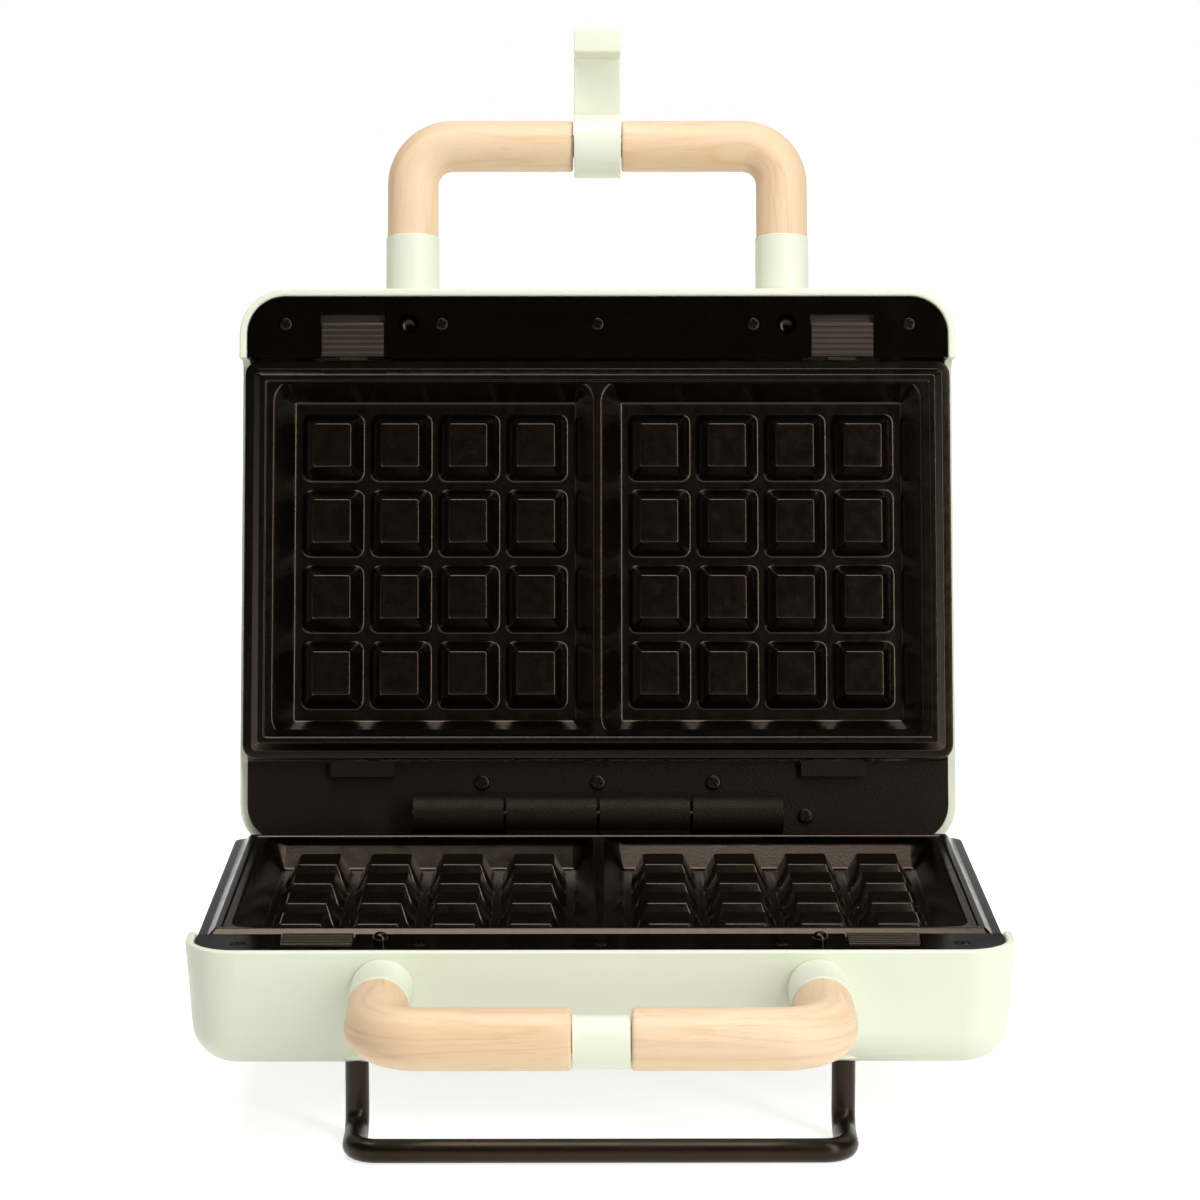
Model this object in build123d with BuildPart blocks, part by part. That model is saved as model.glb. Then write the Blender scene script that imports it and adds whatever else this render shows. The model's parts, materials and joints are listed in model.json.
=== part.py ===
from build123d import *
from math import radians, tan
import os

# Body: a base and a lid shell of one footprint that meet at a parting plane
body_width = 250.0
body_depth = 196.0
shell_height = 37.2
shell_wall = 2.6
shell_draft = 4.0
corner_radius = 16.0
skin_radius = 12.0
shell_rim_round = 0.8
zone_corner = 2.0
cut_margin = 1.0
parting_gap = 0.6
stand_height = 24.0
front_zone = 24.4
side_drop = 10.0
base_rear_drop = 17.0
open_angle = 105.0

# Hinge: its axis lies in the middle of the parting gap
hinge_setback = 12.0
hinge_pin_radius = 2.0
pin_overhang = 0.4
hinge_clearance = 0.05
knuckle_radius = 6.8
knuckle_length = 31.0
knuckle_gap = 1.0
knuckle_web = 11.0
base_web_behind_axis = 2.5
lid_panel_depth = 7.0
base_cover_depth = 9.0
cover_thickness = 2.2
cover_clearance = 0.5
cover_draft_gap = 0.5
cover_step_end_gap = 6.0
web_root = 0.5
cover_step_behind_axis = 2.0

# Cast plates, measured from the parting plane inwards
plate_side_gap = 2.0
plate_gap = 1.1
rear_zone = 31.6
plate_corner = 5.0
flange_depth = 3.0
flange_thickness = 1.8
rim_depth = 0.6
rim_inset = 3.0
rim_slope_angle = 45.0
rim_round = 0.5
skirt_inset = 2.0
skirt_draft = 1.0
plate_bottom_depth = 13.6
cavity_side_land = 10.4
cavity_end_land = 7.05
cavity_web = 2.8
cavity_corner = 3.0
cavity_floor_depth = 11.0
cavity_draft = 32.0
blocks_across = 4
blocks_along = 4
block_side_gap = 3.15
block_end_gap = 4.6
groove_across = 2.9
groove_along = 3.8
block_height = 7.6
block_draft = 26.6
block_corner = 1.5
lug_width = 12.0
lug_reach = 1.4
lug_depth = 8.0
lug_thickness = 2.0

# Front decks and what they carry
deck_depth = 0.8
deck_thickness = 2.5
deck_clearance = 0.35
deck_skirt_thickness = 2.0
deck_skirt_depth = 10.0
deck_screw_row = 12.5
deck_screw_edge = 16.2
peg_from_screw = 11.6
peg_radius = 2.5
peg_height = 3.6
peg_round = 2.0
peg_socket_clearance = 1.0
screw_head_radius = 2.4
screw_head_height = 1.5
screw_radius = 1.3
screw_length = 12.0
screw_clearance = 0.05
boss_radius = 3.3

# Release catches
catch_offset = 2.0
catch_width = 21.6
catch_front = 12.1
catch_back = 23.9
catch_travel = 2.5
catch_clearance = 0.4
catch_rib_count = 6
catch_rib_width = 0.9
catch_rib_height = 0.6
catch_flange_overlap = 2.4
catch_flange_thickness = 1.4
catch_flange_front = 7.6
catch_tongue_width = 10.0
catch_tongue_thickness = 1.8
catch_tongue_end = 24.9
catch_tongue_root = 1.0
spring_radius = 1.6
spring_wire = 0.5
spring_wall_gap = 0.5

# Handles
handle_reach = 52.8
handle_depth = 11.8
handle_width = 148.0
grip_radius = 9.0
grip_bend_radius = 14.0
core_radius = 4.0
core_clearance = 0.05
grip_gap = 17.2
grip_end_round = 1.0
ferrule_radius = 9.4
ferrule_length = 20.0
ferrule_seat = 2.5
sleeve_radius = 7.8
sleeve_offset = 0.8
sleeve_clearance = 0.2
core_tail = 5.5
bracket_thickness = 2.0
bracket_height = 9.6
bracket_corner = 4.0
bracket_overhang = 10.0

# Latch clip on the lid handle
clip_width = 16.4
clip_wall_radius = 11.2
clip_thickness = 2.8
clip_length = 42.4
clip_lip = 8.8
clip_lip_reach = 12.2
clip_round = 1.2

# Heaters
element_radius = 3.2
element_gap = 0.4
element_side_inset = 16.0
element_end_inset = 10.0
element_bend = 20.0
element_terminal_gap = 36.0
tray_sheet = 0.8
tray_inset = 5.0
tray_corner = 8.0
tray_top_depth = 14.2
tray_floor_depth = 23.8
tray_post_radius = 3.5
tray_post_side_inset = 21.0
tray_post_end_inset = 15.0
thermostat_radius = 7.0
thermostat_base_width = 24.0
thermostat_base_length = 12.0
thermostat_base_height = 3.0
fuse_radius = 2.1
fuse_length = 14.0
fuse_place = 44.0
terminal_width = 34.0
terminal_length = 16.0
terminal_height = 9.5
terminal_place_x = 60.0
terminal_place_y = 44.0
terminal_hole_radius = 2.0
terminal_poles = 3

# Stand bar, rear feet and cord bushing
bar_radius = 3.6
bar_width = 154.0
bar_leg_setback = 12.0
bar_front_reach = 12.0
bar_bend_radius = 7.0
bar_hole_clearance = 0.1
bar_insertion = 12.0
bar_socket_radius = 7.0
bar_socket_height = 7.0
push_nut_radius = 6.5
push_nut_thickness = 0.8
foot_inset = 50.0
foot_setback = 28.0
foot_top_radius = 11.0
foot_bottom_radius = 8.5
foot_pad_radius = 7.5
foot_pad_height = 4.0
foot_pad_recess = 1.0
foot_screw_head_radius = 3.0
foot_screw_head_height = 2.0
foot_screw_length = 9.0
bushing_place = 60.0
bushing_depth = 24.4
bushing_radius = 4.0
bushing_flange_radius = 5.4
bushing_flange_thickness = 1.6
bushing_round = 0.6
bushing_bore_radius = 2.9
bushing_inner_length = 4.0
vent_length = 30.0
vent_width = 3.0
vent_pitch = 9.0
vents_across = 5
vent_group_spacing = 120.0

# Rear screws and plate keepers
rear_screw_setback = 23.6
rear_screw_spacing = 40.0
rear_screw_head_radius = 2.6
side_screw_x = 71.9
side_screw_setback = 12.0
keeper_inset = 43.65
keeper_width = 22.3
keeper_length = 5.6
keeper_height = 3.2

# Places worked out from the sizes above
front_y = -body_depth / 2
rear_y = body_depth / 2
rim_z = stand_height + shell_height
hinge_y = rear_y - hinge_setback
hinge_z = rim_z + parting_gap / 2
zone_y = front_y + front_zone
plate_width = body_width - 2 * plate_side_gap
plate_length = body_depth - front_zone - plate_gap - rear_zone
plate_front_y = zone_y + plate_gap
plate_y = plate_front_y + plate_length / 2
plate_rear_y = plate_front_y + plate_length
floor_depth = shell_height - shell_wall
skirt_width = plate_width - 2 * skirt_inset
skirt_length = plate_length - 2 * skirt_inset
cavity_width = (plate_width - 2 * cavity_side_land - cavity_web) / 2
cavity_length = plate_length - 2 * cavity_end_land
cavity_spacing = cavity_width + cavity_web
cavity_run = (cavity_floor_depth - rim_depth) * tan(radians(cavity_draft))
blocks_room_across = cavity_width - 2 * cavity_run - 2 * block_side_gap
blocks_room_along = cavity_length - 2 * cavity_run - 2 * block_end_gap
column_pitch = (blocks_room_across + groove_across) / blocks_across
row_pitch = (blocks_room_along + groove_along) / blocks_along
block_width = column_pitch - groove_across
block_length = row_pitch - groove_along
deck_screw_spacing = (body_width / 2 - deck_screw_edge) / 2
peg_x = deck_screw_spacing + peg_from_screw
catch_x = (peg_x + 2 * deck_screw_spacing) / 2 - catch_offset
tray_width = skirt_width - 2 * tray_inset
tray_length = skirt_length - 2 * tray_inset
element_width = tray_width - 2 * element_side_inset
element_length = tray_length - 2 * element_end_inset
tray_post_spacing_x = tray_width - 2 * tray_post_side_inset
tray_post_spacing_y = tray_length - 2 * tray_post_end_inset
keeper_x = body_width / 2 - keeper_inset
foot_x = body_width / 2 - foot_inset
deck_back_depth = deck_depth + deck_thickness
deck_screw_y = front_y + deck_screw_row
handle_y = front_y - handle_reach
leg_x = handle_width / 2 - grip_radius
grip_end_x = grip_gap / 2
ferrule_end_y = front_y - ferrule_length
axis_depth = -parting_gap / 2
bar_x = bar_width / 2 - bar_radius
bar_leg_y = front_y + bar_leg_setback
foot_y = rear_y - foot_setback
element_depth = plate_bottom_depth + element_gap + element_radius
rear_depths = {"base": base_cover_depth, "lid": lid_panel_depth}
cavity_centres = [(-cavity_spacing / 2, plate_y), (cavity_spacing / 2, plate_y)]
deck_screws = [(i * deck_screw_spacing, deck_screw_y) for i in (-2, -1, 0, 1, 2)]
rear_row = [(i * rear_screw_spacing, rear_y - rear_screw_setback) for i in (-1, 0, 1)]
rear_screws = {"base": rear_row, "lid": rear_row + [(side_screw_x, rear_y - side_screw_setback)]}
bushing_wall_y = rear_y - bushing_depth * tan(radians(shell_draft))

# Local frames: x across, y from the handle to the hinge, z from the parting plane into the shell
hinge_point = Vector(0, hinge_y, hinge_z)
closed_lid_offset = Vector(0, -hinge_y, parting_gap / 2)
lid_face = Plane(
    origin=hinge_point + closed_lid_offset.rotate(Axis.X, -open_angle),
    x_dir=(1, 0, 0),
    z_dir=Vector(0, 0, 1).rotate(Axis.X, -open_angle),
)
base_face = Plane(origin=(0, 0, rim_z), x_dir=(-1, 0, 0), z_dir=(0, 0, -1))
halves = {"base": base_face, "lid": lid_face}
across = {"base": -1, "lid": 1}
sides = {"left": -1, "right": 1}
floor_plane = Plane(origin=(0, 0, stand_height), x_dir=(1, 0, 0), z_dir=(0, 0, 1))
bushing_plane = Plane(
    origin=(-bushing_place, bushing_wall_y, rim_z - bushing_depth),
    x_dir=(-1, 0, 0),
    z_dir=Vector(0, 1, 0).rotate(Axis.X, -shell_draft),
)


def side_plane(face, x=0.0):
    """A plane across the body at x, whose axes run to the hinge and into the shell."""
    return Plane(origin=face.from_local_coords(Vector(x, 0, 0)), x_dir=face.y_dir, z_dir=face.x_dir)


def front_plane(face, y):
    """A plane along the front wall at y, whose axes run across and into the shell, and which faces the user."""
    return Plane(origin=face.from_local_coords(Vector(0, y, 0)), x_dir=face.x_dir, z_dir=-face.y_dir)


def save(piece, name):
    piece.label = name
    export_step(piece, f"parts/{name}.step")


def tub(face, width, depth, height, radius, edge_radius):
    """A drafted rounded block, open side on the parting plane, with its outer edge rounded."""
    with BuildPart() as block:
        with BuildSketch(face):
            RectangleRounded(width, depth, radius)
        extrude(amount=height, taper=shell_draft)
        fillet(block.faces().sort_by(Axis(face.origin, face.z_dir))[-1].edges(), edge_radius)
    return block.part


# Shells
def make_shell(name, rear_drop):
    face = halves[name]
    outer = tub(face, body_width, body_depth, shell_height, corner_radius, skin_radius)
    inner = tub(
        face,
        body_width - 2 * shell_wall,
        body_depth - 2 * shell_wall,
        floor_depth,
        corner_radius - shell_wall,
        skin_radius - shell_wall,
    )
    step_y = hinge_y + cover_step_behind_axis
    wall_top = [
        (zone_y, -cut_margin),
        (zone_y, side_drop - zone_corner),
        (zone_y + zone_corner, side_drop),
        (step_y, side_drop),
        (step_y + cut_margin, rear_drop),
        (rear_y + cut_margin, rear_drop),
        (rear_y + cut_margin, -cut_margin),
    ]
    rear_boss_top = rear_depths[name] + cover_thickness
    with BuildPart() as shell:
        add(outer)
        add(inner, mode=Mode.SUBTRACT)
        with BuildSketch(side_plane(face)):
            with BuildLine():
                Polyline(*wall_top, close=True)
            make_face()
        extrude(amount=body_width, both=True, mode=Mode.SUBTRACT)
        rim = shell.faces().sort_by(Axis(face.origin, face.z_dir))[0]
        fillet(rim.edges().filter_by(lambda edge: edge.length > shell_wall + rim_round), shell_rim_round)
        with BuildSketch(face.offset(deck_back_depth)):
            with Locations(*deck_screws):
                Circle(boss_radius)
        extrude(amount=floor_depth - deck_back_depth)
        with BuildSketch(face.offset(rear_boss_top)):
            with Locations(*rear_screws[name]):
                Circle(boss_radius)
        extrude(amount=floor_depth - rear_boss_top)
        with BuildSketch(face.offset(deck_back_depth)):
            with Locations(*deck_screws):
                Circle(screw_radius + screw_clearance)
        extrude(amount=screw_length, mode=Mode.SUBTRACT)
        with BuildSketch(face.offset(rear_boss_top)):
            with Locations(*rear_screws[name]):
                Circle(screw_radius + screw_clearance)
        extrude(amount=screw_length, mode=Mode.SUBTRACT)
        with BuildSketch(face.offset(tray_floor_depth)):
            with Locations((0, plate_y)):
                with GridLocations(tray_post_spacing_x, tray_post_spacing_y, 2, 2):
                    Circle(tray_post_radius)
        extrude(amount=floor_depth - tray_floor_depth)
        with BuildSketch(front_plane(face, front_y)):
            with Locations((-leg_x, handle_depth), (leg_x, handle_depth)):
                Circle(ferrule_radius + core_clearance)
        extrude(amount=2 * ferrule_seat, both=True, mode=Mode.SUBTRACT)
    return shell.part


def make_base_shell():
    """The base shell has sockets for the stand bar, foot screw holes, vents and the cord's hole."""
    with BuildPart() as shell:
        add(make_shell("base", base_rear_drop))
        with BuildSketch(floor_plane.offset(shell_wall)):
            with Locations((-bar_x, bar_leg_y), (bar_x, bar_leg_y)):
                Circle(bar_socket_radius)
        extrude(amount=bar_socket_height)
        with BuildSketch(floor_plane):
            with Locations((-bar_x, bar_leg_y), (bar_x, bar_leg_y)):
                Circle(bar_radius + bar_hole_clearance)
        extrude(amount=bar_socket_height + shell_wall, mode=Mode.SUBTRACT)
        with BuildSketch(floor_plane):
            with Locations((-foot_x, foot_y), (foot_x, foot_y)):
                Circle(screw_radius + screw_clearance)
            for sign in sides.values():
                with Locations((sign * vent_group_spacing / 2, 0)):
                    with GridLocations(0, vent_pitch, 1, vents_across):
                        SlotOverall(vent_length, vent_width)
        extrude(amount=shell_wall, mode=Mode.SUBTRACT)
        with BuildSketch(bushing_plane):
            Circle(bushing_radius + screw_clearance)
        extrude(amount=2 * bushing_inner_length, both=True, mode=Mode.SUBTRACT)
    save(shell.part, "base_shell")


# Front decks, with slots for the catches and, in the lid, sockets for the pegs
def make_deck(name):
    face = halves[name]
    inset = shell_wall + deck_clearance
    slot_width = catch_width + 2 * catch_clearance
    slot_front = catch_front - catch_travel - catch_clearance
    slot_length = front_zone - slot_front
    slot_y = front_y + slot_front + slot_length / 2
    with BuildPart() as deck:
        with BuildSketch(face.offset(deck_depth)):
            RectangleRounded(body_width - 2 * inset, body_depth - 2 * inset, corner_radius - inset)
            with Locations((0, (zone_y + rear_y) / 2)):
                Rectangle(body_width, rear_y - zone_y, mode=Mode.SUBTRACT)
            with Locations((-catch_x, slot_y), (catch_x, slot_y)):
                Rectangle(slot_width, slot_length, mode=Mode.SUBTRACT)
            if name == "lid":
                with Locations((-peg_x, deck_screw_y), (peg_x, deck_screw_y)):
                    Circle(peg_radius + peg_socket_clearance, mode=Mode.SUBTRACT)
        extrude(amount=deck_thickness)
        with BuildSketch(face.offset(deck_back_depth)):
            with Locations((0, zone_y - deck_skirt_thickness / 2)):
                Rectangle(body_width - 2 * (inset + deck_clearance) - deck_skirt_thickness, deck_skirt_thickness)
            with Locations((-catch_x, slot_y), (catch_x, slot_y)):
                Rectangle(slot_width + 2 * catch_flange_overlap, slot_length, mode=Mode.SUBTRACT)
        extrude(amount=deck_skirt_depth - deck_back_depth)
        with BuildSketch(face.offset(deck_depth)):
            with Locations(*deck_screws):
                Circle(screw_head_radius + screw_clearance)
        extrude(amount=screw_head_height, mode=Mode.SUBTRACT)
        with BuildSketch(face.offset(deck_depth)):
            with Locations(*deck_screws):
                Circle(screw_radius + screw_clearance)
        extrude(amount=deck_thickness, mode=Mode.SUBTRACT)
    save(deck.part, f"{name}_front_deck")


def make_screws(name, face, places, head_top, head_radius):
    """Pan-head screws, one solid each, with their heads towards the parting plane."""
    with BuildPart() as screws:
        with BuildSketch(face.offset(head_top)):
            with Locations(*places):
                Circle(head_radius)
        extrude(amount=screw_head_height)
        with BuildSketch(face.offset(head_top + screw_head_height)):
            with Locations(*places):
                Circle(screw_radius)
        extrude(amount=screw_length)
    save(screws.part, name)


# Locating pegs on the base deck
def make_pegs():
    with BuildPart() as pegs:
        with BuildSketch(base_face.offset(deck_depth)):
            with Locations((-peg_x, deck_screw_y), (peg_x, deck_screw_y)):
                Circle(peg_radius)
        extrude(amount=-peg_height)
        fillet(pegs.edges().group_by(Axis.Z)[-1], peg_round)
    save(pegs.part, "base_locating_pegs")


# Cast plates with two waffle cavities
def make_plate(name):
    """The plate's blocks are cast with it, and stay separate solids so that collision is open between them."""
    face = halves[name]
    lug_y = plate_front_y + skirt_inset - lug_reach / 2
    flange_back = flange_depth + flange_thickness
    with BuildPart() as tray:
        with BuildSketch(face.offset(flange_depth)):
            with Locations((0, plate_y)):
                RectangleRounded(plate_width, plate_length, plate_corner)
        extrude(amount=flange_thickness)
        with BuildSketch(face.offset(flange_depth)):
            with Locations((0, plate_y)):
                RectangleRounded(plate_width - 2 * rim_inset, plate_length - 2 * rim_inset, plate_corner)
        extrude(amount=-(flange_depth - rim_depth), taper=rim_slope_angle)
        rim_top = tray.faces().sort_by(Axis(face.origin, face.z_dir))[0]
        fillet(rim_top.edges(), rim_round)
        with BuildSketch(face.offset(flange_back)):
            with Locations((0, plate_y)):
                RectangleRounded(skirt_width, skirt_length, plate_corner)
        extrude(amount=plate_bottom_depth - flange_back, taper=skirt_draft)
        with BuildSketch(face.offset(rim_depth)):
            with Locations(*cavity_centres):
                RectangleRounded(cavity_width, cavity_length, cavity_corner)
        extrude(amount=cavity_floor_depth - rim_depth, taper=cavity_draft, mode=Mode.SUBTRACT)
        with BuildSketch(face.offset(lug_depth)):
            with Locations((-catch_x, lug_y), (catch_x, lug_y)):
                Rectangle(lug_width, lug_reach + skirt_inset)
        extrude(amount=lug_thickness)
    with BuildPart() as blocks:
        with BuildSketch(face.offset(cavity_floor_depth)):
            with Locations(*cavity_centres):
                with GridLocations(column_pitch, row_pitch, blocks_across, blocks_along):
                    RectangleRounded(block_width, block_length, block_corner)
        extrude(amount=-block_height, taper=block_draft)
    save(Compound(children=[tray.part, blocks.part]), f"{name}_plate")


# Release catches, each a ribbed pad on a flange that runs under the deck
def make_catch(name, side):
    face = halves[name]
    x = across[name] * sides[side] * catch_x
    pad_length = catch_back - catch_front
    pad_y = front_y + (catch_front + catch_back) / 2
    flange_top = deck_back_depth + catch_clearance / 2
    flange_length = catch_back - deck_skirt_thickness - catch_flange_front
    flange_y = front_y + catch_flange_front + flange_length / 2
    tongue_start = front_y + catch_back - deck_skirt_thickness - catch_tongue_root
    tongue_length = front_y + catch_tongue_end - tongue_start
    with BuildPart() as catch:
        with BuildSketch(face.offset(deck_depth)):
            with Locations((x, pad_y)):
                Rectangle(catch_width, pad_length)
        extrude(amount=flange_top - deck_depth)
        with BuildSketch(face.offset(flange_top)):
            with Locations((x, flange_y)):
                Rectangle(catch_width + 2 * catch_flange_overlap - 2 * catch_clearance, flange_length)
        extrude(amount=catch_flange_thickness)
        with BuildSketch(face.offset(flange_top + catch_flange_thickness)):
            with Locations((x, tongue_start + tongue_length / 2)):
                Rectangle(catch_tongue_width, tongue_length)
        extrude(amount=catch_tongue_thickness)
        with BuildSketch(face.offset(deck_depth)):
            with Locations((x, pad_y)):
                with GridLocations(0, pad_length / catch_rib_count, 1, catch_rib_count):
                    Rectangle(catch_width, catch_rib_width)
        extrude(amount=-catch_rib_height)
    save(catch.part, f"{name}_release_catch_{side}")
    spring_start = shell_wall + spring_wall_gap
    centre_depth = flange_top + spring_radius
    with BuildPart() as spring:
        with BuildSketch(front_plane(face, front_y + spring_start)):
            with Locations((x, centre_depth)):
                Circle(spring_radius)
                Circle(spring_radius - spring_wire, mode=Mode.SUBTRACT)
        extrude(amount=-(catch_flange_front - spring_start))
    save(spring.part, f"{name}_catch_spring_{side}")


# Handles: a steel core, wooden halves and ferrules
def handle_path(face, half_width, start_y):
    """One side's centre line from the front wall round the bend to the middle."""
    with BuildLine(face.offset(handle_depth)) as path:
        FilletPolyline(
            (half_width, start_y), (half_width, handle_y), (grip_end_x * half_width / abs(half_width), handle_y),
            radius=grip_bend_radius,
        )
    return path.line


def make_handle(name):
    face = halves[name]
    tail_y = front_y + core_tail
    with BuildPart() as core:
        with BuildLine(face.offset(handle_depth)) as path:
            FilletPolyline(
                (-leg_x, tail_y), (-leg_x, handle_y), (leg_x, handle_y), (leg_x, tail_y),
                radius=grip_bend_radius,
            )
        with BuildSketch(Plane(origin=path.line @ 0, z_dir=path.line % 0)):
            Circle(core_radius)
        sweep(path=path.line)
    save(core.part, f"{name}_handle_core")
    for side, sign in sides.items():
        x = across[name] * sign * leg_x
        line = handle_path(face, x, ferrule_end_y)
        with BuildPart() as grip:
            with BuildSketch(Plane(origin=line @ 0, z_dir=line % 0)):
                Circle(grip_radius)
                Circle(core_radius + core_clearance, mode=Mode.SUBTRACT)
            sweep(path=line)
            inner_end = grip.faces().filter_by(GeomType.PLANE).sort_by(lambda end: abs(end.center().X))[0]
            fillet(inner_end.outer_wire().edges(), grip_end_round)
        save(grip.part, f"{name}_grip_{side}")
        with BuildPart() as ferrule:
            with BuildSketch(front_plane(face, ferrule_end_y)):
                with Locations((x, handle_depth)):
                    Circle(ferrule_radius)
                    Circle(core_radius + core_clearance, mode=Mode.SUBTRACT)
            extrude(amount=-(ferrule_length + ferrule_seat))
        save(ferrule.part, f"{name}_ferrule_{side}")
    with BuildPart() as bracket:
        with BuildSketch(front_plane(face, tail_y)):
            with Locations((0, handle_depth)):
                RectangleRounded(2 * (leg_x + bracket_overhang), bracket_height, bracket_corner)
        extrude(amount=-bracket_thickness)
    save(bracket.part, f"{name}_handle_bracket")


def make_sleeve():
    """The centre sleeve of the base handle, which the latch clip hooks under."""
    length = grip_gap - 2 * sleeve_clearance
    with BuildPart() as sleeve:
        with BuildSketch(side_plane(base_face, -length / 2)):
            with Locations((handle_y, handle_depth + sleeve_offset)):
                Circle(sleeve_radius)
            with Locations((handle_y, handle_depth)):
                Circle(core_radius + core_clearance, mode=Mode.SUBTRACT)
        extrude(amount=length)
    save(sleeve.part, "base_handle_sleeve")


def make_clip():
    """The latch clip: a collar on the lid handle's core, and an arm whose lip hooks under the base's sleeve."""
    back = handle_depth + clip_wall_radius
    tip = handle_y - clip_length
    with BuildPart() as clip:
        with BuildSketch(side_plane(lid_face, -clip_width / 2)):
            with Locations((handle_y, handle_depth)):
                Circle(clip_wall_radius)
            with Locations(((handle_y + tip) / 2, back - clip_thickness / 2)):
                Rectangle(clip_length, clip_thickness)
            with Locations((tip + clip_lip / 2, back - clip_lip_reach / 2)):
                RectangleRounded(clip_lip, clip_lip_reach, clip_round)
            with Locations((handle_y, handle_depth)):
                Circle(core_radius + core_clearance, mode=Mode.SUBTRACT)
        extrude(amount=clip_width)
    save(clip.part, "latch_clip")


# Heaters under the plates
def make_heater(name):
    face = halves[name]
    half_width = element_width / 2
    half_length = element_length / 2
    end_x = element_terminal_gap / 2
    with BuildPart() as element:
        with BuildLine(face.offset(element_depth)) as path:
            FilletPolyline(
                (-end_x, plate_y + half_length),
                (-half_width, plate_y + half_length),
                (-half_width, plate_y - half_length),
                (half_width, plate_y - half_length),
                (half_width, plate_y + half_length),
                (end_x, plate_y + half_length),
                radius=element_bend,
            )
        with BuildSketch(Plane(origin=path.line @ 0, z_dir=path.line % 0)):
            Circle(element_radius)
        sweep(path=path.line)
    save(element.part, f"{name}_heating_element")
    with BuildPart() as tray:
        with BuildSketch(face.offset(tray_top_depth)):
            with Locations((0, plate_y)):
                RectangleRounded(tray_width, tray_length, tray_corner)
        extrude(amount=tray_floor_depth - tray_top_depth)
        with BuildSketch(face.offset(tray_top_depth)):
            with Locations((0, plate_y)):
                RectangleRounded(tray_width - 2 * tray_sheet, tray_length - 2 * tray_sheet, tray_corner)
        extrude(amount=tray_floor_depth - tray_top_depth - tray_sheet, mode=Mode.SUBTRACT)
    save(tray.part, f"{name}_reflector_tray")
    thermostat_top = plate_bottom_depth + element_gap
    tray_inside = tray_floor_depth - tray_sheet
    with BuildPart() as thermostat:
        with BuildSketch(face.offset(thermostat_top)):
            with Locations((0, plate_y)):
                Circle(thermostat_radius)
        extrude(amount=tray_inside - thermostat_base_height - thermostat_top)
        with BuildSketch(face.offset(tray_inside - thermostat_base_height)):
            with Locations((0, plate_y)):
                Rectangle(thermostat_base_width, thermostat_base_length)
        extrude(amount=thermostat_base_height)
    save(thermostat.part, f"{name}_thermostat")


def make_fuse():
    depth = tray_floor_depth - tray_sheet - fuse_radius
    with BuildPart() as fuse:
        with BuildSketch(side_plane(lid_face, fuse_place)):
            with Locations((plate_y, depth)):
                Circle(fuse_radius)
        extrude(amount=fuse_length)
    save(fuse.part, "thermal_fuse")


def make_terminal_block():
    with BuildPart() as block:
        with BuildSketch(floor_plane.offset(shell_wall)):
            with Locations((-terminal_place_x, terminal_place_y)):
                Rectangle(terminal_width, terminal_length)
        extrude(amount=terminal_height)
        with BuildSketch(floor_plane.offset(shell_wall + terminal_height)):
            with Locations((-terminal_place_x, terminal_place_y)):
                with GridLocations(terminal_width / terminal_poles, 0, terminal_poles, 1):
                    Circle(terminal_hole_radius)
        extrude(amount=-terminal_height / 2, mode=Mode.SUBTRACT)
    save(block.part, "terminal_block")


# Hinge: four knuckles on one pin, the outer two on the lid's panel and the inner two on the base's cover
def cover_outline(inset):
    """The inner outline of the shell behind the plate, as a sketch on the current plane."""
    RectangleRounded(body_width - 2 * inset, body_depth - 2 * inset, corner_radius - inset)
    with Locations((0, plate_rear_y + cover_clearance - body_depth / 2)):
        Rectangle(body_width, body_depth, mode=Mode.SUBTRACT)


def make_knuckle(face, start, web_front, web_back, web_depth):
    """One hinge knuckle with its web, both ends square, bored for the pin."""
    with BuildPart() as knuckle:
        with BuildSketch(side_plane(face, start)):
            with Locations((hinge_y, axis_depth)):
                Circle(knuckle_radius)
            with Locations(((web_front + web_back) / 2, (axis_depth + web_depth) / 2)):
                Rectangle(web_back - web_front, web_depth - axis_depth)
            with Locations((hinge_y, axis_depth)):
                Circle(hinge_pin_radius + hinge_clearance, mode=Mode.SUBTRACT)
        extrude(amount=knuckle_length)
    return knuckle.part


def make_lid_panel():
    inset = shell_wall + cover_clearance + cover_draft_gap
    outer_start = knuckle_length + 3 * knuckle_gap / 2
    web_front = hinge_y - knuckle_web / 2
    web_back = hinge_y + knuckle_web / 2
    keeper_y = plate_rear_y + cover_clearance + keeper_length / 2
    with BuildPart() as panel:
        with BuildSketch(lid_face.offset(lid_panel_depth)):
            cover_outline(inset)
            with Locations(*rear_screws["lid"]):
                Circle(screw_radius + screw_clearance, mode=Mode.SUBTRACT)
        extrude(amount=cover_thickness)
        with BuildSketch(lid_face.offset(lid_panel_depth)):
            with Locations((-keeper_x, keeper_y), (keeper_x, keeper_y)):
                Rectangle(keeper_width, keeper_length)
        extrude(amount=-keeper_height)
        add(make_knuckle(lid_face, outer_start, web_front, web_back, lid_panel_depth + web_root))
        add(make_knuckle(lid_face, -outer_start - knuckle_length, web_front, web_back, lid_panel_depth + web_root))
    save(panel.part, "lid_hinge_panel")


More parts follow.
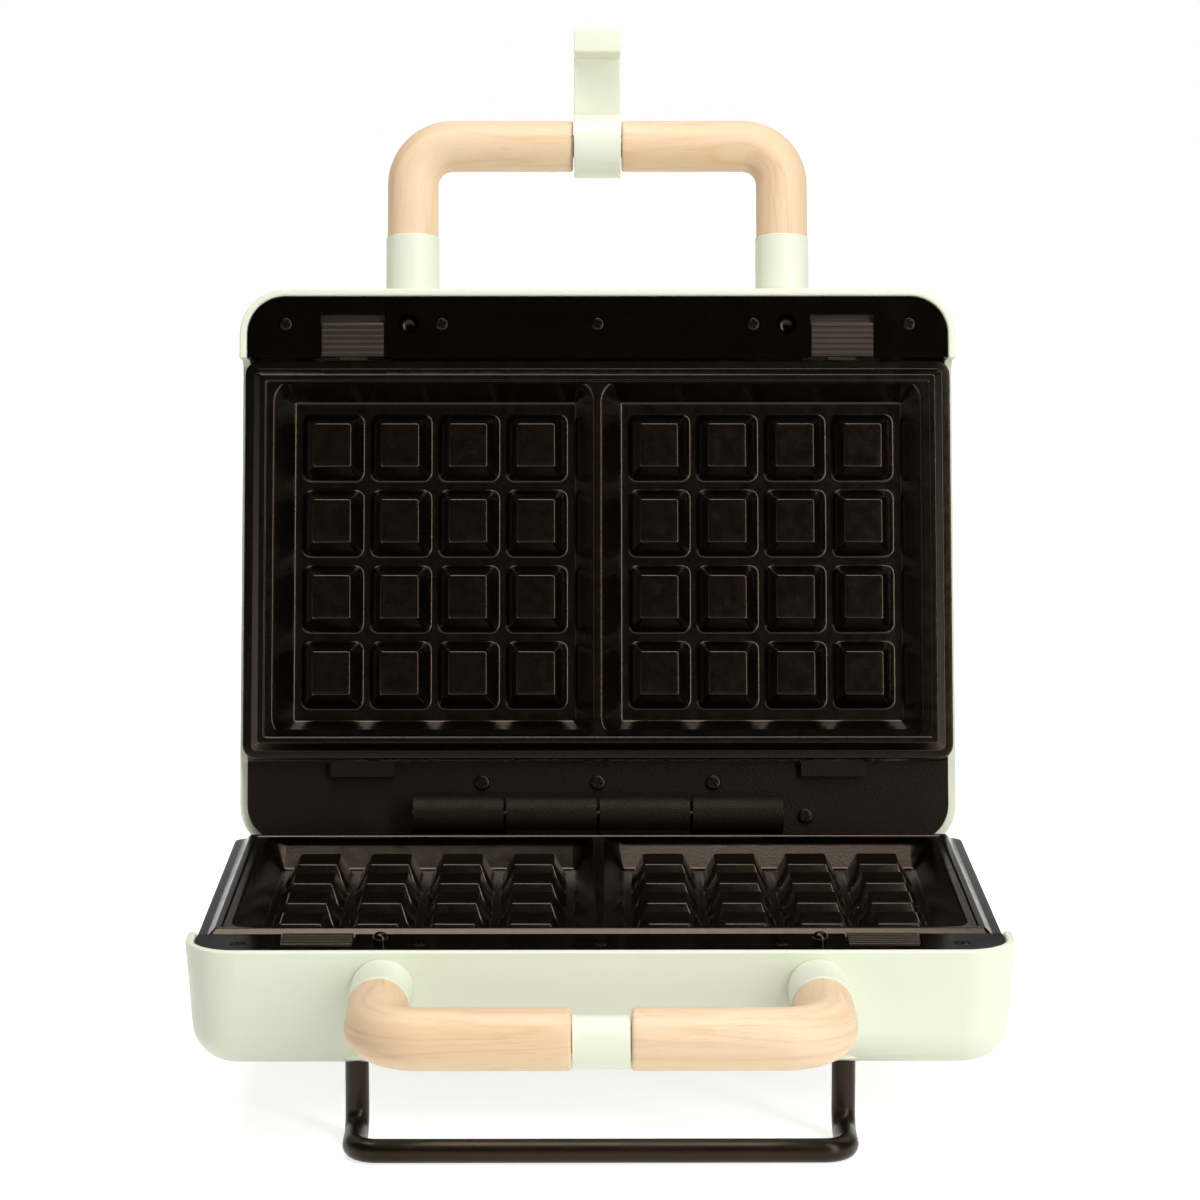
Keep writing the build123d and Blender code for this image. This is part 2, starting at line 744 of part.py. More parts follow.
def make_base_cover():
    inset = shell_wall + cover_clearance + cover_draft_gap
    inner_start = knuckle_gap / 2
    web_front = hinge_y - knuckle_web / 2
    web_back = hinge_y + base_web_behind_axis
    step_y = hinge_y + cover_step_behind_axis
    low_depth = base_rear_drop + cover_draft_gap
    keeper_y = plate_rear_y + cover_clearance + keeper_length / 2
    with BuildPart() as cover:
        with BuildSketch(base_face.offset(base_cover_depth)):
            cover_outline(inset)
            with Locations((0, step_y + body_depth / 2)):
                Rectangle(body_width, body_depth, mode=Mode.SUBTRACT)
            with Locations(*rear_screws["base"]):
                Circle(screw_radius + screw_clearance, mode=Mode.SUBTRACT)
        extrude(amount=cover_thickness)
        with BuildSketch(base_face.offset(low_depth)):
            cover_outline(inset + cover_draft_gap)
            with Locations((0, step_y - cover_thickness - body_depth / 2)):
                Rectangle(body_width, body_depth, mode=Mode.SUBTRACT)
        extrude(amount=cover_thickness)
        with BuildSketch(base_face.offset(base_cover_depth)):
            with Locations((0, step_y - cover_thickness / 2)):
                Rectangle(body_width - 2 * (inset + cover_step_end_gap), cover_thickness)
        extrude(amount=low_depth + cover_thickness - base_cover_depth)
        with BuildSketch(base_face.offset(base_cover_depth)):
            with Locations((-keeper_x, keeper_y), (keeper_x, keeper_y)):
                Rectangle(keeper_width, keeper_length)
        extrude(amount=-keeper_height)
        add(make_knuckle(base_face, inner_start, web_front, web_back, base_cover_depth + web_root))
        add(make_knuckle(base_face, -inner_start - knuckle_length, web_front, web_back, base_cover_depth + web_root))
    save(cover.part, "base_hinge_cover")


def make_hinge_pin():
    half_length = 2 * knuckle_length + 3 * knuckle_gap / 2 + pin_overhang
    with BuildPart() as pin:
        with BuildSketch(side_plane(base_face, -half_length)):
            with Locations((hinge_y, axis_depth)):
                Circle(hinge_pin_radius)
        extrude(amount=2 * half_length)
    save(pin.part, "hinge_pin")


# What the grill stands on
def make_stand_bar():
    top = stand_height + bar_insertion
    front = front_y - bar_front_reach
    with BuildPart() as bar:
        with BuildLine() as path:
            FilletPolyline(
                (-bar_x, bar_leg_y, top),
                (-bar_x, bar_leg_y, bar_radius),
                (-bar_x, front, bar_radius),
                (bar_x, front, bar_radius),
                (bar_x, bar_leg_y, bar_radius),
                (bar_x, bar_leg_y, top),
                radius=bar_bend_radius,
            )
        with BuildSketch(Plane(origin=path.line @ 0, z_dir=path.line % 0)):
            Circle(bar_radius)
        sweep(path=path.line)
    save(bar.part, "stand_bar")
    nut_top = floor_plane.offset(shell_wall + bar_socket_height)
    with BuildPart() as nuts:
        with BuildSketch(nut_top):
            with Locations((-bar_x, bar_leg_y), (bar_x, bar_leg_y)):
                Circle(push_nut_radius)
                Circle(bar_radius, mode=Mode.SUBTRACT)
        extrude(amount=push_nut_thickness)
    save(nuts.part, "stand_bar_push_nuts")


def make_feet():
    pad_top = foot_pad_height
    for side, sign in sides.items():
        x = sign * foot_x
        with BuildPart() as foot:
            with BuildSketch(Plane(origin=(x, foot_y, pad_top - foot_pad_recess), z_dir=(0, 0, 1))):
                Circle(foot_bottom_radius)
            with BuildSketch(Plane(origin=(x, foot_y, stand_height), z_dir=(0, 0, 1))):
                Circle(foot_top_radius)
            loft()
            with BuildSketch(Plane(origin=(x, foot_y, pad_top - foot_pad_recess), z_dir=(0, 0, 1))):
                Circle(foot_pad_radius)
            extrude(amount=foot_pad_recess, mode=Mode.SUBTRACT)
            with BuildSketch(Plane(origin=(x, foot_y, 0), z_dir=(0, 0, 1))):
                Circle(screw_radius + screw_clearance)
            extrude(amount=stand_height, mode=Mode.SUBTRACT)
        save(foot.part, f"rear_foot_{side}")
        with BuildPart() as pad:
            with BuildSketch(Plane(origin=(x, foot_y, 0), z_dir=(0, 0, 1))):
                Circle(foot_pad_radius)
            extrude(amount=pad_top)
        save(pad.part, f"rear_foot_pad_{side}")
    places = [(-foot_x, foot_y), (foot_x, foot_y)]
    with BuildPart() as screws:
        head_plane = floor_plane.offset(shell_wall)
        with BuildSketch(head_plane):
            with Locations(*places):
                Circle(foot_screw_head_radius)
        extrude(amount=foot_screw_head_height)
        with BuildSketch(head_plane):
            with Locations(*places):
                Circle(screw_radius)
        extrude(amount=-foot_screw_length)
    save(screws.part, "rear_foot_screws")


def make_bushing():
    with BuildPart() as bushing:
        with BuildSketch(bushing_plane):
            Circle(bushing_flange_radius)
        extrude(amount=bushing_flange_thickness)
        fillet(bushing.edges().group_by(Axis(bushing_plane.origin, bushing_plane.z_dir))[-1], bushing_round)
        with BuildSketch(bushing_plane):
            Circle(bushing_radius)
        extrude(amount=-(shell_wall + bushing_inner_length))
        with BuildSketch(bushing_plane):
            Circle(bushing_bore_radius)
        extrude(amount=2 * bushing_inner_length, both=True, mode=Mode.SUBTRACT)
    save(bushing.part, "cord_bushing")


os.makedirs("parts", exist_ok=True)
make_base_shell()
save(make_shell("lid", side_drop), "lid_shell")
for half in halves:
    make_deck(half)
    make_plate(half)
    make_handle(half)
    make_heater(half)
    for catch_side in sides:
        make_catch(half, catch_side)
    make_screws(f"{half}_deck_screws", halves[half], deck_screws, deck_depth, screw_head_radius)
    rear_heads = rear_depths[half] - screw_head_height
    make_screws(f"{half}_hinge_screws", halves[half], rear_screws[half], rear_heads, rear_screw_head_radius)
make_pegs()
make_sleeve()
make_clip()
make_fuse()
make_terminal_block()
make_lid_panel()
make_base_cover()
make_hinge_pin()
make_stand_bar()
make_feet()
make_bushing()
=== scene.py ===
import json
import math

import bmesh
import bpy
from bpy.props import FloatProperty, FloatVectorProperty, IntProperty, PointerProperty
from bpy.types import Operator, Panel, PropertyGroup
from mathutils import Matrix, Vector

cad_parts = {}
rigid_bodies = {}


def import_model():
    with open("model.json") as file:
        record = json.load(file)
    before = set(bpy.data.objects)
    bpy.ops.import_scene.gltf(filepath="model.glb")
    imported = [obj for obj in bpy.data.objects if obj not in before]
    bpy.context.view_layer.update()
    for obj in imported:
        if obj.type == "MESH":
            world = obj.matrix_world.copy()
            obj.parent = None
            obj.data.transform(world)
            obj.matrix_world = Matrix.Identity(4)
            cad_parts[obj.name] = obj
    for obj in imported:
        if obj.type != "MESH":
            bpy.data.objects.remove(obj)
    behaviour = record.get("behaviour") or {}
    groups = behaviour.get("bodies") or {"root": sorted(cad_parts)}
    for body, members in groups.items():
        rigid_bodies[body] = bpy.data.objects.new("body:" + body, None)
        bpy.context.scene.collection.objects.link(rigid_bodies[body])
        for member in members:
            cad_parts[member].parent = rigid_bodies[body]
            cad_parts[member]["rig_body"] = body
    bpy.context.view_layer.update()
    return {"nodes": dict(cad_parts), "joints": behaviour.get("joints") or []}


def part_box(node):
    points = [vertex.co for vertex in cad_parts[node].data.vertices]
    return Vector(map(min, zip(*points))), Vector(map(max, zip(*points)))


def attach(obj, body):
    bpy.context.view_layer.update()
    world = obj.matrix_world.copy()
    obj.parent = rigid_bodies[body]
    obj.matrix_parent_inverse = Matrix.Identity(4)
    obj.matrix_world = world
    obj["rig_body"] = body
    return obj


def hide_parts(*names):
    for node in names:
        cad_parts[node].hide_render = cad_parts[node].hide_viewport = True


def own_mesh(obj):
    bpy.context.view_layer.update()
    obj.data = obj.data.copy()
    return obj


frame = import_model()

bl_info = {
    "name": "Waffle grill dressing",
    "version": (1, 0, 0),
    "blender": (4, 5, 0),
    "location": "3D View > Sidebar > Grill",
    "description": "Gives a packed waffle grill its finished pieces, materials and stage",
    "category": "Object",
}

MM = 0.001
HALVES = ("base", "lid")
QUARTERS = [(half, side) for half in HALVES for side in ("left", "right")]

# Meshes: vertices closer than a weld are merged, and flatter edges than a crease are dissolved
WELD = 0.001 * MM
CREASE = math.radians(0.5)
NEARLY_STRAIGHT = math.radians(89.5)
ROUNDED_FROM = math.radians(38)
SHARPEST_CORNER = 0.9 * MM
RING_POINTS = 28
CUP_POINTS = 40
GRIP_POINTS = 48

# Degrees from which an edge is shown sharp
MOULDING_EDGE = 32
SCREW_EDGE = 35
SOCKET_EDGE = 40
CASTING_EDGE = 50
ROUND_EDGE = 60

# Cast plates: corner radii seen from above, and the skirt's taper
PLATE_CORNER = 5 * MM
CAVITY_CORNER = 4.2 * MM
BLOCK_CORNER = 2.6 * MM
SKIRT_TAPER = 0.15 * MM
FOOT_SINK = 0.02 * MM

# Screws, at the sizes they have in the frame
HEAD_HEIGHT = 1.5 * MM
SHANK_RADIUS = 1.3 * MM
TIP_LENGTH = 0.3 * MM

# Wood: cells in a metre along, across and through the grain, then how much each layer shows
FIGURE_CELLS = (9.0, 75.0, 130.0)
BAND_CELLS = (4.0, 45.0, 60.0)
FIBRE_CELLS = (120.0, 2200.0, 2200.0)
LINE_SPACING = 0.085
LINE_SHARPNESS = 2.6
LINE_SHARE = 0.42
BAND_SHARE = 0.45
PORE_SHARE = 0.35
PORE_TINT = (0.8, 0.7, 0.6)
FIGURE_STEP = (0.31, 0.017, 0.023)

# Colours; the warm sheen is the brown cast of the black finishes' gloss
WHITE = (1.0, 1.0, 1.0, 1.0)
WARM_SHEEN = (1.0, 0.78, 0.58, 1.0)
FLECK_COLOUR = (0.030, 0.021, 0.014, 1.0)
FLOOR_COLOUR = (0.86, 0.86, 0.86, 1)

# Depth of the skin's bumps
SKIN_DEPTH = 0.2 * MM
COATING_SKIN_DEPTH = 0.1 * MM

# Plain finishes: gloss runs from the smoothest to the roughest, grain is the skin's grains in a metre
FINISHES = {
    "gloss_black_moulding": dict(
        rgb=(0.0010, 0.0006, 0.0004), gloss=(0.12, 0.20), grain=1200.0, bump=0.04, shine=0.3,
        sheen=WARM_SHEEN,
    ),
    "matt_black_moulding": dict(
        rgb=(0.0060, 0.0038, 0.0024), gloss=(0.42, 0.58), grain=1500.0, bump=0.8, drift=0.15, shine=0.15,
        sheen=WARM_SHEEN,
    ),
    "catch_moulding": dict(
        rgb=(0.020, 0.016, 0.012), gloss=(0.36, 0.48), grain=1500.0, bump=0.3, sheen=WARM_SHEEN,
    ),
    "black_bar_enamel": dict(
        rgb=(0.0050, 0.0030, 0.0019), gloss=(0.26, 0.38), grain=1100.0, bump=0.12, shine=0.3,
        sheen=WARM_SHEEN,
    ),
    "blackened_steel": dict(
        rgb=(0.026, 0.020, 0.015), gloss=(0.26, 0.40), grain=2500.0, bump=0.2, metallic=1.0,
    ),
    "zinc_plated_steel": dict(
        rgb=(0.55, 0.55, 0.56), gloss=(0.25, 0.4), grain=2500.0, bump=0.15, metallic=1.0,
    ),
    "bright_aluminium_sheet": dict(
        rgb=(0.8, 0.8, 0.81), gloss=(0.18, 0.32), grain=1800.0, bump=0.1, metallic=1.0,
    ),
    "heater_tube_steel": dict(
        rgb=(0.3, 0.29, 0.28), gloss=(0.4, 0.55), grain=2200.0, bump=0.25, metallic=1.0,
    ),
    "black_rubber": dict(rgb=(0.012, 0.012, 0.012), gloss=(0.7, 0.85), grain=1600.0, bump=0.4),
}

# Stage: each lamp has a place, an aim, a width and length, and the property that holds its power
FLOOR_SIZE = 6.0
LAMPS = {
    "strip_light": ((0.84, -1.12, 0.85), (0.0, 0.0, 0.15), (0.26, 1.7), "strip_power"),
    "top_light": ((-0.2, -0.2, 2.2), (0.0, 0.0, 0.0), (2.0, 0.9), "top_power"),
    "back_light": ((0.3, 1.5, 1.6), (0.0, 0.0, 0.1), (1.2, 0.8), "back_power"),
}
GLOW_DISTANCES = (0.5, 1.6)
GLOW_STRENGTHS = (0.72, 1.0)
HORIZON_BAND = (0.10, 0.24)


def joint_named(name):
    return next(joint for joint in frame["joints"] if joint["name"] == name)


# Places read from the frame
HINGE_POINT = Vector(joint_named("lid_hinge")["pos_m"])
OPEN_ANGLE = math.radians(-joint_named("lid_hinge")["range_deg"][0])
RIM_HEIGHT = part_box("base_shell")[1].z
HALF_GAP = HINGE_POINT.z - RIM_HEIGHT


def half_matrix(half):
    """Places a half's own axes in the frame: x across, y to the hinge, z inwards from the parting plane."""
    if half == "base":
        turn = Matrix.Rotation(math.pi, 4, "Y")
        return Matrix.Translation((0, 0, RIM_HEIGHT)) @ turn
    swing = Matrix.Rotation(-OPEN_ANGLE, 4, "X")
    closed = Matrix.Translation((0, -HINGE_POINT.y, HALF_GAP))
    return Matrix.Translation(HINGE_POINT) @ swing @ closed


def corner_box(places):
    """The lowest and highest corners round some places."""
    low = Vector([min(place[axis] for place in places) for axis in range(3)])
    high = Vector([max(place[axis] for place in places) for axis in range(3)])
    return low, high


def local_box(node, half):
    """The lowest and highest corners of a CAD node in its half's own axes."""
    back = half_matrix(half).inverted()
    return corner_box([back @ vertex.co for vertex in frame["nodes"][node].data.vertices])


# Sizes and colours that a user would change
def metres(name, description, default):
    return FloatProperty(name=name, description=description, unit="LENGTH", default=default)


def tint(name, description, default):
    return FloatVectorProperty(
        name=name, description=description, subtype="COLOR", size=3, default=default, min=0, max=1,
    )


def power(name, description, default):
    return FloatProperty(name=name, description=description, default=default, min=0)


def angle(name, description, degrees):
    return FloatProperty(name=name, description=description, subtype="ANGLE", default=math.radians(degrees))


class GrillShellFinish(PropertyGroup):
    mint: tint("Mint", "Colour of the moulded shells", (0.780, 0.812, 0.652))
    roughness: FloatProperty(name="Roughness", description="Satin of the shells", default=0.42, min=0, max=1)
    grain: FloatProperty(name="Grain", description="Number of skin grains in a metre", default=900.0, min=1)


class GrillPlateForm(PropertyGroup):
    rim_width: metres("Rim slope", "Width of the slope outside the raised rim", 0.0024)
    flange_depth: metres("Flange depth", "Depth of the flange below the rim", 0.0024)
    flange_width: metres("Flange width", "Width of the flange round the rim", 0.0030)
    flange_thickness: metres("Flange thickness", "Thickness of the flange", 0.0018)
    bead_width: metres("Bead width", "Width of the bead on the rim", 0.0018)
    bead_height: metres("Bead height", "Height of the bead on the rim", 0.0004)
    skirt_inset: metres("Skirt inset", "Distance from the flange's edge to the skirt", 0.0020)
    side_land: metres("Side land", "Width of the rim beside a cavity", 0.0104)
    end_land: metres("End land", "Width of the rim before and behind a cavity", 0.00705)
    web: metres("Web", "Width of the rib between the cavities", 0.0028)
    cavity_depth: metres("Cavity depth", "Depth of the cavity floor below the rim", 0.0104)
    cavity_run: metres("Cavity run", "Width of the cavity's sloping wall", 0.0065)
    columns: IntProperty(name="Columns", description="Blocks across a cavity", default=4, min=1)
    rows: IntProperty(name="Rows", description="Blocks along a cavity", default=4, min=1)
    column_pitch: metres("Column pitch", "Distance between blocks, across", 0.0237)
    row_pitch: metres("Row pitch", "Distance between blocks, along", 0.0266)
    block_width: metres("Block width", "Width of a block at the cavity floor", 0.0208)
    block_length: metres("Block length", "Length of a block at the cavity floor", 0.0228)
    block_height: metres("Block height", "Height of a block above the floor", 0.0076)
    block_run: metres("Block run", "Width of a block's sloping side", 0.0038)
    edge_round: metres("Edge round", "Radius of the casting's edges", 0.0010)
    coating: tint("Coating", "Colour of the non-stick coating", (0.0019, 0.0011, 0.0006))


class GrillGripForm(PropertyGroup):
    bend_radius: metres("Bend radius", "Radius of the grip's centre line", 0.014)
    end_round: metres("End round", "Radius of the grip's inner end", 0.001)
    pale: tint("Pale wood", "Colour of the early wood", (0.840, 0.635, 0.420))
    dark: tint("Dark wood", "Colour of the growth lines", (0.690, 0.440, 0.225))


class GrillScrewForm(PropertyGroup):
    dome: metres("Dome", "Height of the head's dome", 0.0005)
    cross_width: metres("Cross width", "Width of the recess's arms", 0.0006)
    cross_depth: metres("Cross depth", "Depth of the cross recess", 0.0010)
    thread_pitch: metres("Thread pitch", "Pitch of the screw's thread", 0.0010)


class GrillSpringForm(PropertyGroup):
    wire: metres("Wire", "Diameter of the spring wire", 0.0004)
    turns: FloatProperty(name="Turns", description="Number of turns", default=5.0, min=1)


class GrillSocketForm(PropertyGroup):
    bore: metres("Bore", "Radius of a peg socket", 0.0035)
    wall: metres("Wall", "Wall of a peg socket", 0.0008)
    start: metres("Start", "Depth of the deck's underside below its face", 0.00252)
    depth: metres("Depth", "Depth of a socket below the deck", 0.0042)


class GrillStage(PropertyGroup):
    lens: FloatProperty(name="Lens", description="Focal length on a 36 mm sensor", default=115.0, min=1)
    camera_place: FloatVectorProperty(
        name="Camera", description="Where the camera stands", subtype="TRANSLATION", size=3,
        default=(-0.005, -1.2044, 0.34975),
    )
    camera_drop: angle("Camera drop", "Downward tilt of the camera", 9.377)
    camera_turn: angle("Camera turn", "Turn of the camera to the right", 0.25)
    strip_power: power("Strip light", "Power of the tall light on the right", 16.5)
    top_power: power("Top light", "Power of the soft light above the front", 37.0)
    back_power: power("Back light", "Power of the soft light above the back", 6.0)
    overhead: power("Overhead", "Strength of the surround above the horizon band", 0.05)


class GrillSettings(PropertyGroup):
    shell: PointerProperty(type=GrillShellFinish, name="Shells", description="Finish of the shells")
    plate: PointerProperty(type=GrillPlateForm, name="Plates", description="Form of the waffle plates")
    grip: PointerProperty(type=GrillGripForm, name="Grips", description="Form and colour of the wooden grips")
    screw: PointerProperty(type=GrillScrewForm, name="Screws", description="Form of the screws")
    spring: PointerProperty(type=GrillSpringForm, name="Springs", description="Form of the catch springs")
    socket: PointerProperty(type=GrillSocketForm, name="Sockets", description="Form of the peg sockets")
    stage: PointerProperty(type=GrillStage, name="Stage", description="Camera, lights and floor")


# Nodes and node groups of any tree
def new_tree(kind, name, inputs, output):
    """A node group, its given inputs and the socket of its one output.

    The inputs are (name, kind of socket, default) and the output is (name, kind of socket).
    """
    tree = bpy.data.node_groups.new(name, kind)
    for label, socket_kind, default in inputs:
        socket = tree.interface.new_socket(
            name=label, in_out="INPUT", socket_type=f"NodeSocket{socket_kind}",
        )
        if default is not None:
            socket.default_value = default
    label, socket_kind = output
    tree.interface.new_socket(name=label, in_out="OUTPUT", socket_type=f"NodeSocket{socket_kind}")
    given = tree.nodes.new("NodeGroupInput")
    return tree, given.outputs, tree.nodes.new("NodeGroupOutput").inputs[label]


def fill(tree, node, sockets):
    """Feeds a node's inputs, each with a link from an output or with a plain value."""
    for label, value in sockets.items():
        if isinstance(value, bpy.types.NodeSocket):
            tree.links.new(value, node.inputs[label])
        else:
            node.inputs[label].default_value = value


def add_node(tree, kind, sockets, **settings):
    """A new node with its own settings and its inputs fed."""
    node = tree.nodes.new(kind)
    for label, value in settings.items():
        setattr(node, label, value)
    fill(tree, node, sockets)
    return node


def calculate(tree, operation, *values, clamp=False):
    """The result of a sum on numbers and outputs."""
    sockets = dict(enumerate(values))
    return add_node(tree, "ShaderNodeMath", sockets, operation=operation, use_clamp=clamp).outputs[0]


# Shader node groups
def noise(tree, vector, scale, detail=3.0, rough=0.5, distortion=0.0):
    sockets = {
        "Vector": vector, "Scale": scale, "Detail": detail, "Roughness": rough, "Distortion": distortion,
    }
    return add_node(tree, "ShaderNodeTexNoise", sockets).outputs["Fac"]


def cells(tree, vector, scale):
    return add_node(tree, "ShaderNodeTexVoronoi", {"Vector": vector, "Scale": scale}).outputs["Distance"]


def remap(tree, value, before, after):
    """Maps a value from one (low, high) range to another; each limit is a number or an output."""
    sockets = {
        "Value": value, "From Min": before[0], "From Max": before[1], "To Min": after[0], "To Max": after[1],
    }
    return add_node(tree, "ShaderNodeMapRange", sockets).outputs["Result"]


def mix_colours(tree, share, first, second):
    sockets = {"Factor": share, "A": first, "B": second}
    return add_node(tree, "ShaderNodeMix", sockets, data_type="RGBA").outputs["Result"]


def stretch(tree, vector, scale):
    return add_node(tree, "ShaderNodeMapping", {"Vector": vector, "Scale": scale}).outputs["Vector"]


def tone_drift_group():
    """Slow changes of tone over a surface."""
    group, given, result = new_tree(
        "ShaderNodeTree", "Tone drift",
        [("Vector", "Vector", None), ("Colour", "Color", (0.5, 0.5, 0.5, 1)), ("Scale", "Float", 20.0),
         ("Amount", "Float", 0.05)],
        ("Colour", "Color"),
    )
    slow = noise(group, given["Vector"], given["Scale"])
    darkest = calculate(group, "SUBTRACT", 1.0, given["Amount"])
    palest = calculate(group, "ADD", 1.0, given["Amount"])
    drift = remap(group, slow, (0.25, 0.75), (darkest, palest))
    sockets = {0: given["Colour"], "Scale": drift}
    toned = add_node(group, "ShaderNodeVectorMath", sockets, operation="SCALE")
    group.links.new(toned.outputs["Vector"], result)
    return group


def gloss_drift_group():
    """Roughness that changes over a surface, as handling and moulding leave it."""
    group, given, result = new_tree(
        "ShaderNodeTree", "Gloss drift",
        [("Vector", "Vector", None), ("Scale", "Float", 60.0), ("Smoothest", "Float", 0.3),
         ("Roughest", "Float", 0.5)],
        ("Roughness", "Float"),
    )
    patches = noise(group, given["Vector"], given["Scale"], detail=5.0)
    drift = remap(group, patches, (0.3, 0.7), (given["Smoothest"], given["Roughest"]))
    group.links.new(drift, result)
    return group


def skin_group():
    """The fine skin of a moulding or a coating, as a height."""
    group, given, result = new_tree(
        "ShaderNodeTree", "Surface skin",
        [("Vector", "Vector", None), ("Scale", "Float", 900.0)],
        ("Height", "Float"),
    )
    coarse = noise(group, given["Vector"], given["Scale"], detail=2.0)
    fine = cells(group, given["Vector"], given["Scale"])
    group.links.new(calculate(group, "MULTIPLY", coarse, fine), result)
    return group


def fleck_group():
    """Small pale flecks, as a mask."""
    group, given, result = new_tree(
        "ShaderNodeTree", "Flecks",
        [("Vector", "Vector", None), ("Scale", "Float", 700.0), ("Share", "Float", 0.3)],
        ("Mask", "Float"),
    )
    patches = noise(group, given["Vector"], 160.0, detail=2.0)
    where = remap(group, patches, (0.35, 0.65), (0.0, 1.0))
    dots = remap(group, cells(group, given["Vector"], given["Scale"]), (given["Share"], 0.0), (0.0, 1.0))
    group.links.new(calculate(group, "MULTIPLY", where, dots), result)
    return group


def place_group(tree, name, vector, **values):
    """The output of a shader node group that is placed in a material with its own values."""
    sockets = {"Vector": vector, **values}
    return add_node(tree, "ShaderNodeGroup", sockets, node_tree=tree_named(name)).outputs[0]


# Materials
def opaque(rgb):
    return (*rgb, 1.0)


def start_material(name):
    """An empty material with its shader, output and Object coordinates."""
    material = bpy.data.materials.new(name)
    material.use_nodes = True
    tree = material.node_tree
    tree.nodes.clear()
    shader = tree.nodes.new("ShaderNodeBsdfPrincipled")
    add_node(tree, "ShaderNodeOutputMaterial", {"Surface": shader.outputs["BSDF"]})
    coordinates = tree.nodes.new("ShaderNodeTexCoord")
    return material, tree, shader, coordinates.outputs["Object"]


def bumped(tree, height, strength, distance):
    sockets = {"Height": height, "Strength": strength, "Distance": distance}
    return add_node(tree, "ShaderNodeBump", sockets).outputs["Normal"]


def plain_material(name, rgb, gloss, grain, bump, drift=0.06, shine=0.5, sheen=WHITE, metallic=0.0):
    """A finish of one drifting colour with drifting gloss and a fine skin."""
    material, tree, shader, vector = start_material(name)
    tone = place_group(tree, "Tone drift", vector, Colour=opaque(rgb), Scale=35.0, Amount=drift)
    skin = place_group(tree, "Surface skin", vector, Scale=grain)
    fill(tree, shader, {
        "Base Color": tone,
        "Roughness": place_group(
            tree, "Gloss drift", vector, Scale=90.0, Smoothest=gloss[0], Roughest=gloss[1],
        ),
        "Metallic": metallic,
        "Specular IOR Level": shine,
        "Specular Tint": sheen,
        "Normal": bumped(tree, skin, bump, SKIN_DEPTH),
    })
    return material


def mint_material(name):
    finish = bpy.context.scene.grill.shell
    gloss = (finish.roughness - 0.05, finish.roughness + 0.05)
    return plain_material(name, finish.mint, gloss, grain=finish.grain, bump=0.12, drift=0.012)


def coating_material(name):
    """Non-stick coating: near black, semi-gloss, with fine pale flecks."""
    coating = opaque(bpy.context.scene.grill.plate.coating)
    material, tree, shader, vector = start_material(name)
    tone = place_group(tree, "Tone drift", vector, Colour=coating, Scale=120.0, Amount=0.3)
    flecks = place_group(tree, "Flecks", vector, Scale=1300.0, Share=0.30)
    skin = place_group(tree, "Surface skin", vector, Scale=1300.0)
    fill(tree, shader, {
        "Base Color": mix_colours(tree, flecks, tone, FLECK_COLOUR),
        "Roughness": place_group(tree, "Gloss drift", vector, Scale=250.0, Smoothest=0.18, Roughest=0.26),
        "Specular IOR Level": 0.45,
        "Specular Tint": WARM_SHEEN,
        "Normal": bumped(tree, skin, 0.2, COATING_SKIN_DEPTH),
    })
    return material


def wood_material(name):
    """Pale hardwood whose growth lines follow the grip: the unbent attribute carries its straight form."""
    form = bpy.context.scene.grill.grip
    material, tree, shader, _ = start_material(name)
    unbent = tree.nodes.new("ShaderNodeAttribute")
    unbent.attribute_name = "unbent"
    vector = unbent.outputs["Vector"]

    figure = noise(tree, stretch(tree, vector, FIGURE_CELLS), 1.0, rough=0.45, distortion=0.6)
    lines = calculate(tree, "PINGPONG", figure, LINE_SPACING)
    thick_lines = remap(tree, lines, (0.0, LINE_SPACING), (1.0, 0.0))
    thin_lines = calculate(tree, "POWER", thick_lines, LINE_SHARPNESS)
    broad = noise(tree, stretch(tree, vector, BAND_CELLS), 1.0, detail=2.0)
    bands = remap(tree, broad, (0.35, 0.7), (0.0, BAND_SHARE))
    growth = calculate(tree, "MULTIPLY_ADD", thin_lines, LINE_SHARE, bands)
    body = mix_colours(tree, growth, opaque(form.pale), opaque(form.dark))

    fibres = noise(tree, stretch(tree, vector, FIBRE_CELLS), 1.0, detail=2.0, rough=0.6)
    pores = remap(tree, fibres, (0.58, 0.75), (0.0, PORE_SHARE))
    pore_colour = opaque(dark * share for dark, share in zip(form.dark, PORE_TINT))
    fill(tree, shader, {
        "Base Color": mix_colours(tree, pores, body, pore_colour),
        "Roughness": place_group(tree, "Gloss drift", vector, Scale=200.0, Smoothest=0.42, Roughest=0.56),
        "Normal": bumped(tree, fibres, 0.12, SKIN_DEPTH),
    })
    return material


MATERIAL_MAKERS = {
    "mint_moulding": mint_material,
    "flecked_coating": coating_material,
    "pale_hardwood": wood_material,
}


def material_named(name):
    """A material by its name, made when first asked for."""
    found = bpy.data.materials.get(name)
    if found:
        return found
    if name in MATERIAL_MAKERS:
        return MATERIAL_MAKERS[name](name)
    return plain_material(name, **FINISHES[name])


# Objects and meshes
def link_object(name, data):
    """A new object in the scene."""
    thing = bpy.data.objects.new(name, data)
    bpy.context.scene.collection.objects.link(thing)
    return thing


def evaluated_mesh(holder):
    """A plain mesh of an object with its modifiers run; the object is removed."""
    bpy.context.view_layer.update()
    graph = bpy.context.evaluated_depsgraph_get()
    mesh = bpy.data.meshes.new_from_object(holder.evaluated_get(graph))
    bpy.data.objects.remove(holder)
    return mesh


def set_material(mesh, name):
    mesh.materials.clear()
    mesh.materials.append(material_named(name))


def smooth(mesh, degrees):
    mesh.polygons.foreach_set("use_smooth", [True] * len(mesh.polygons))
    mesh.set_sharp_from_angle(angle=math.radians(degrees))


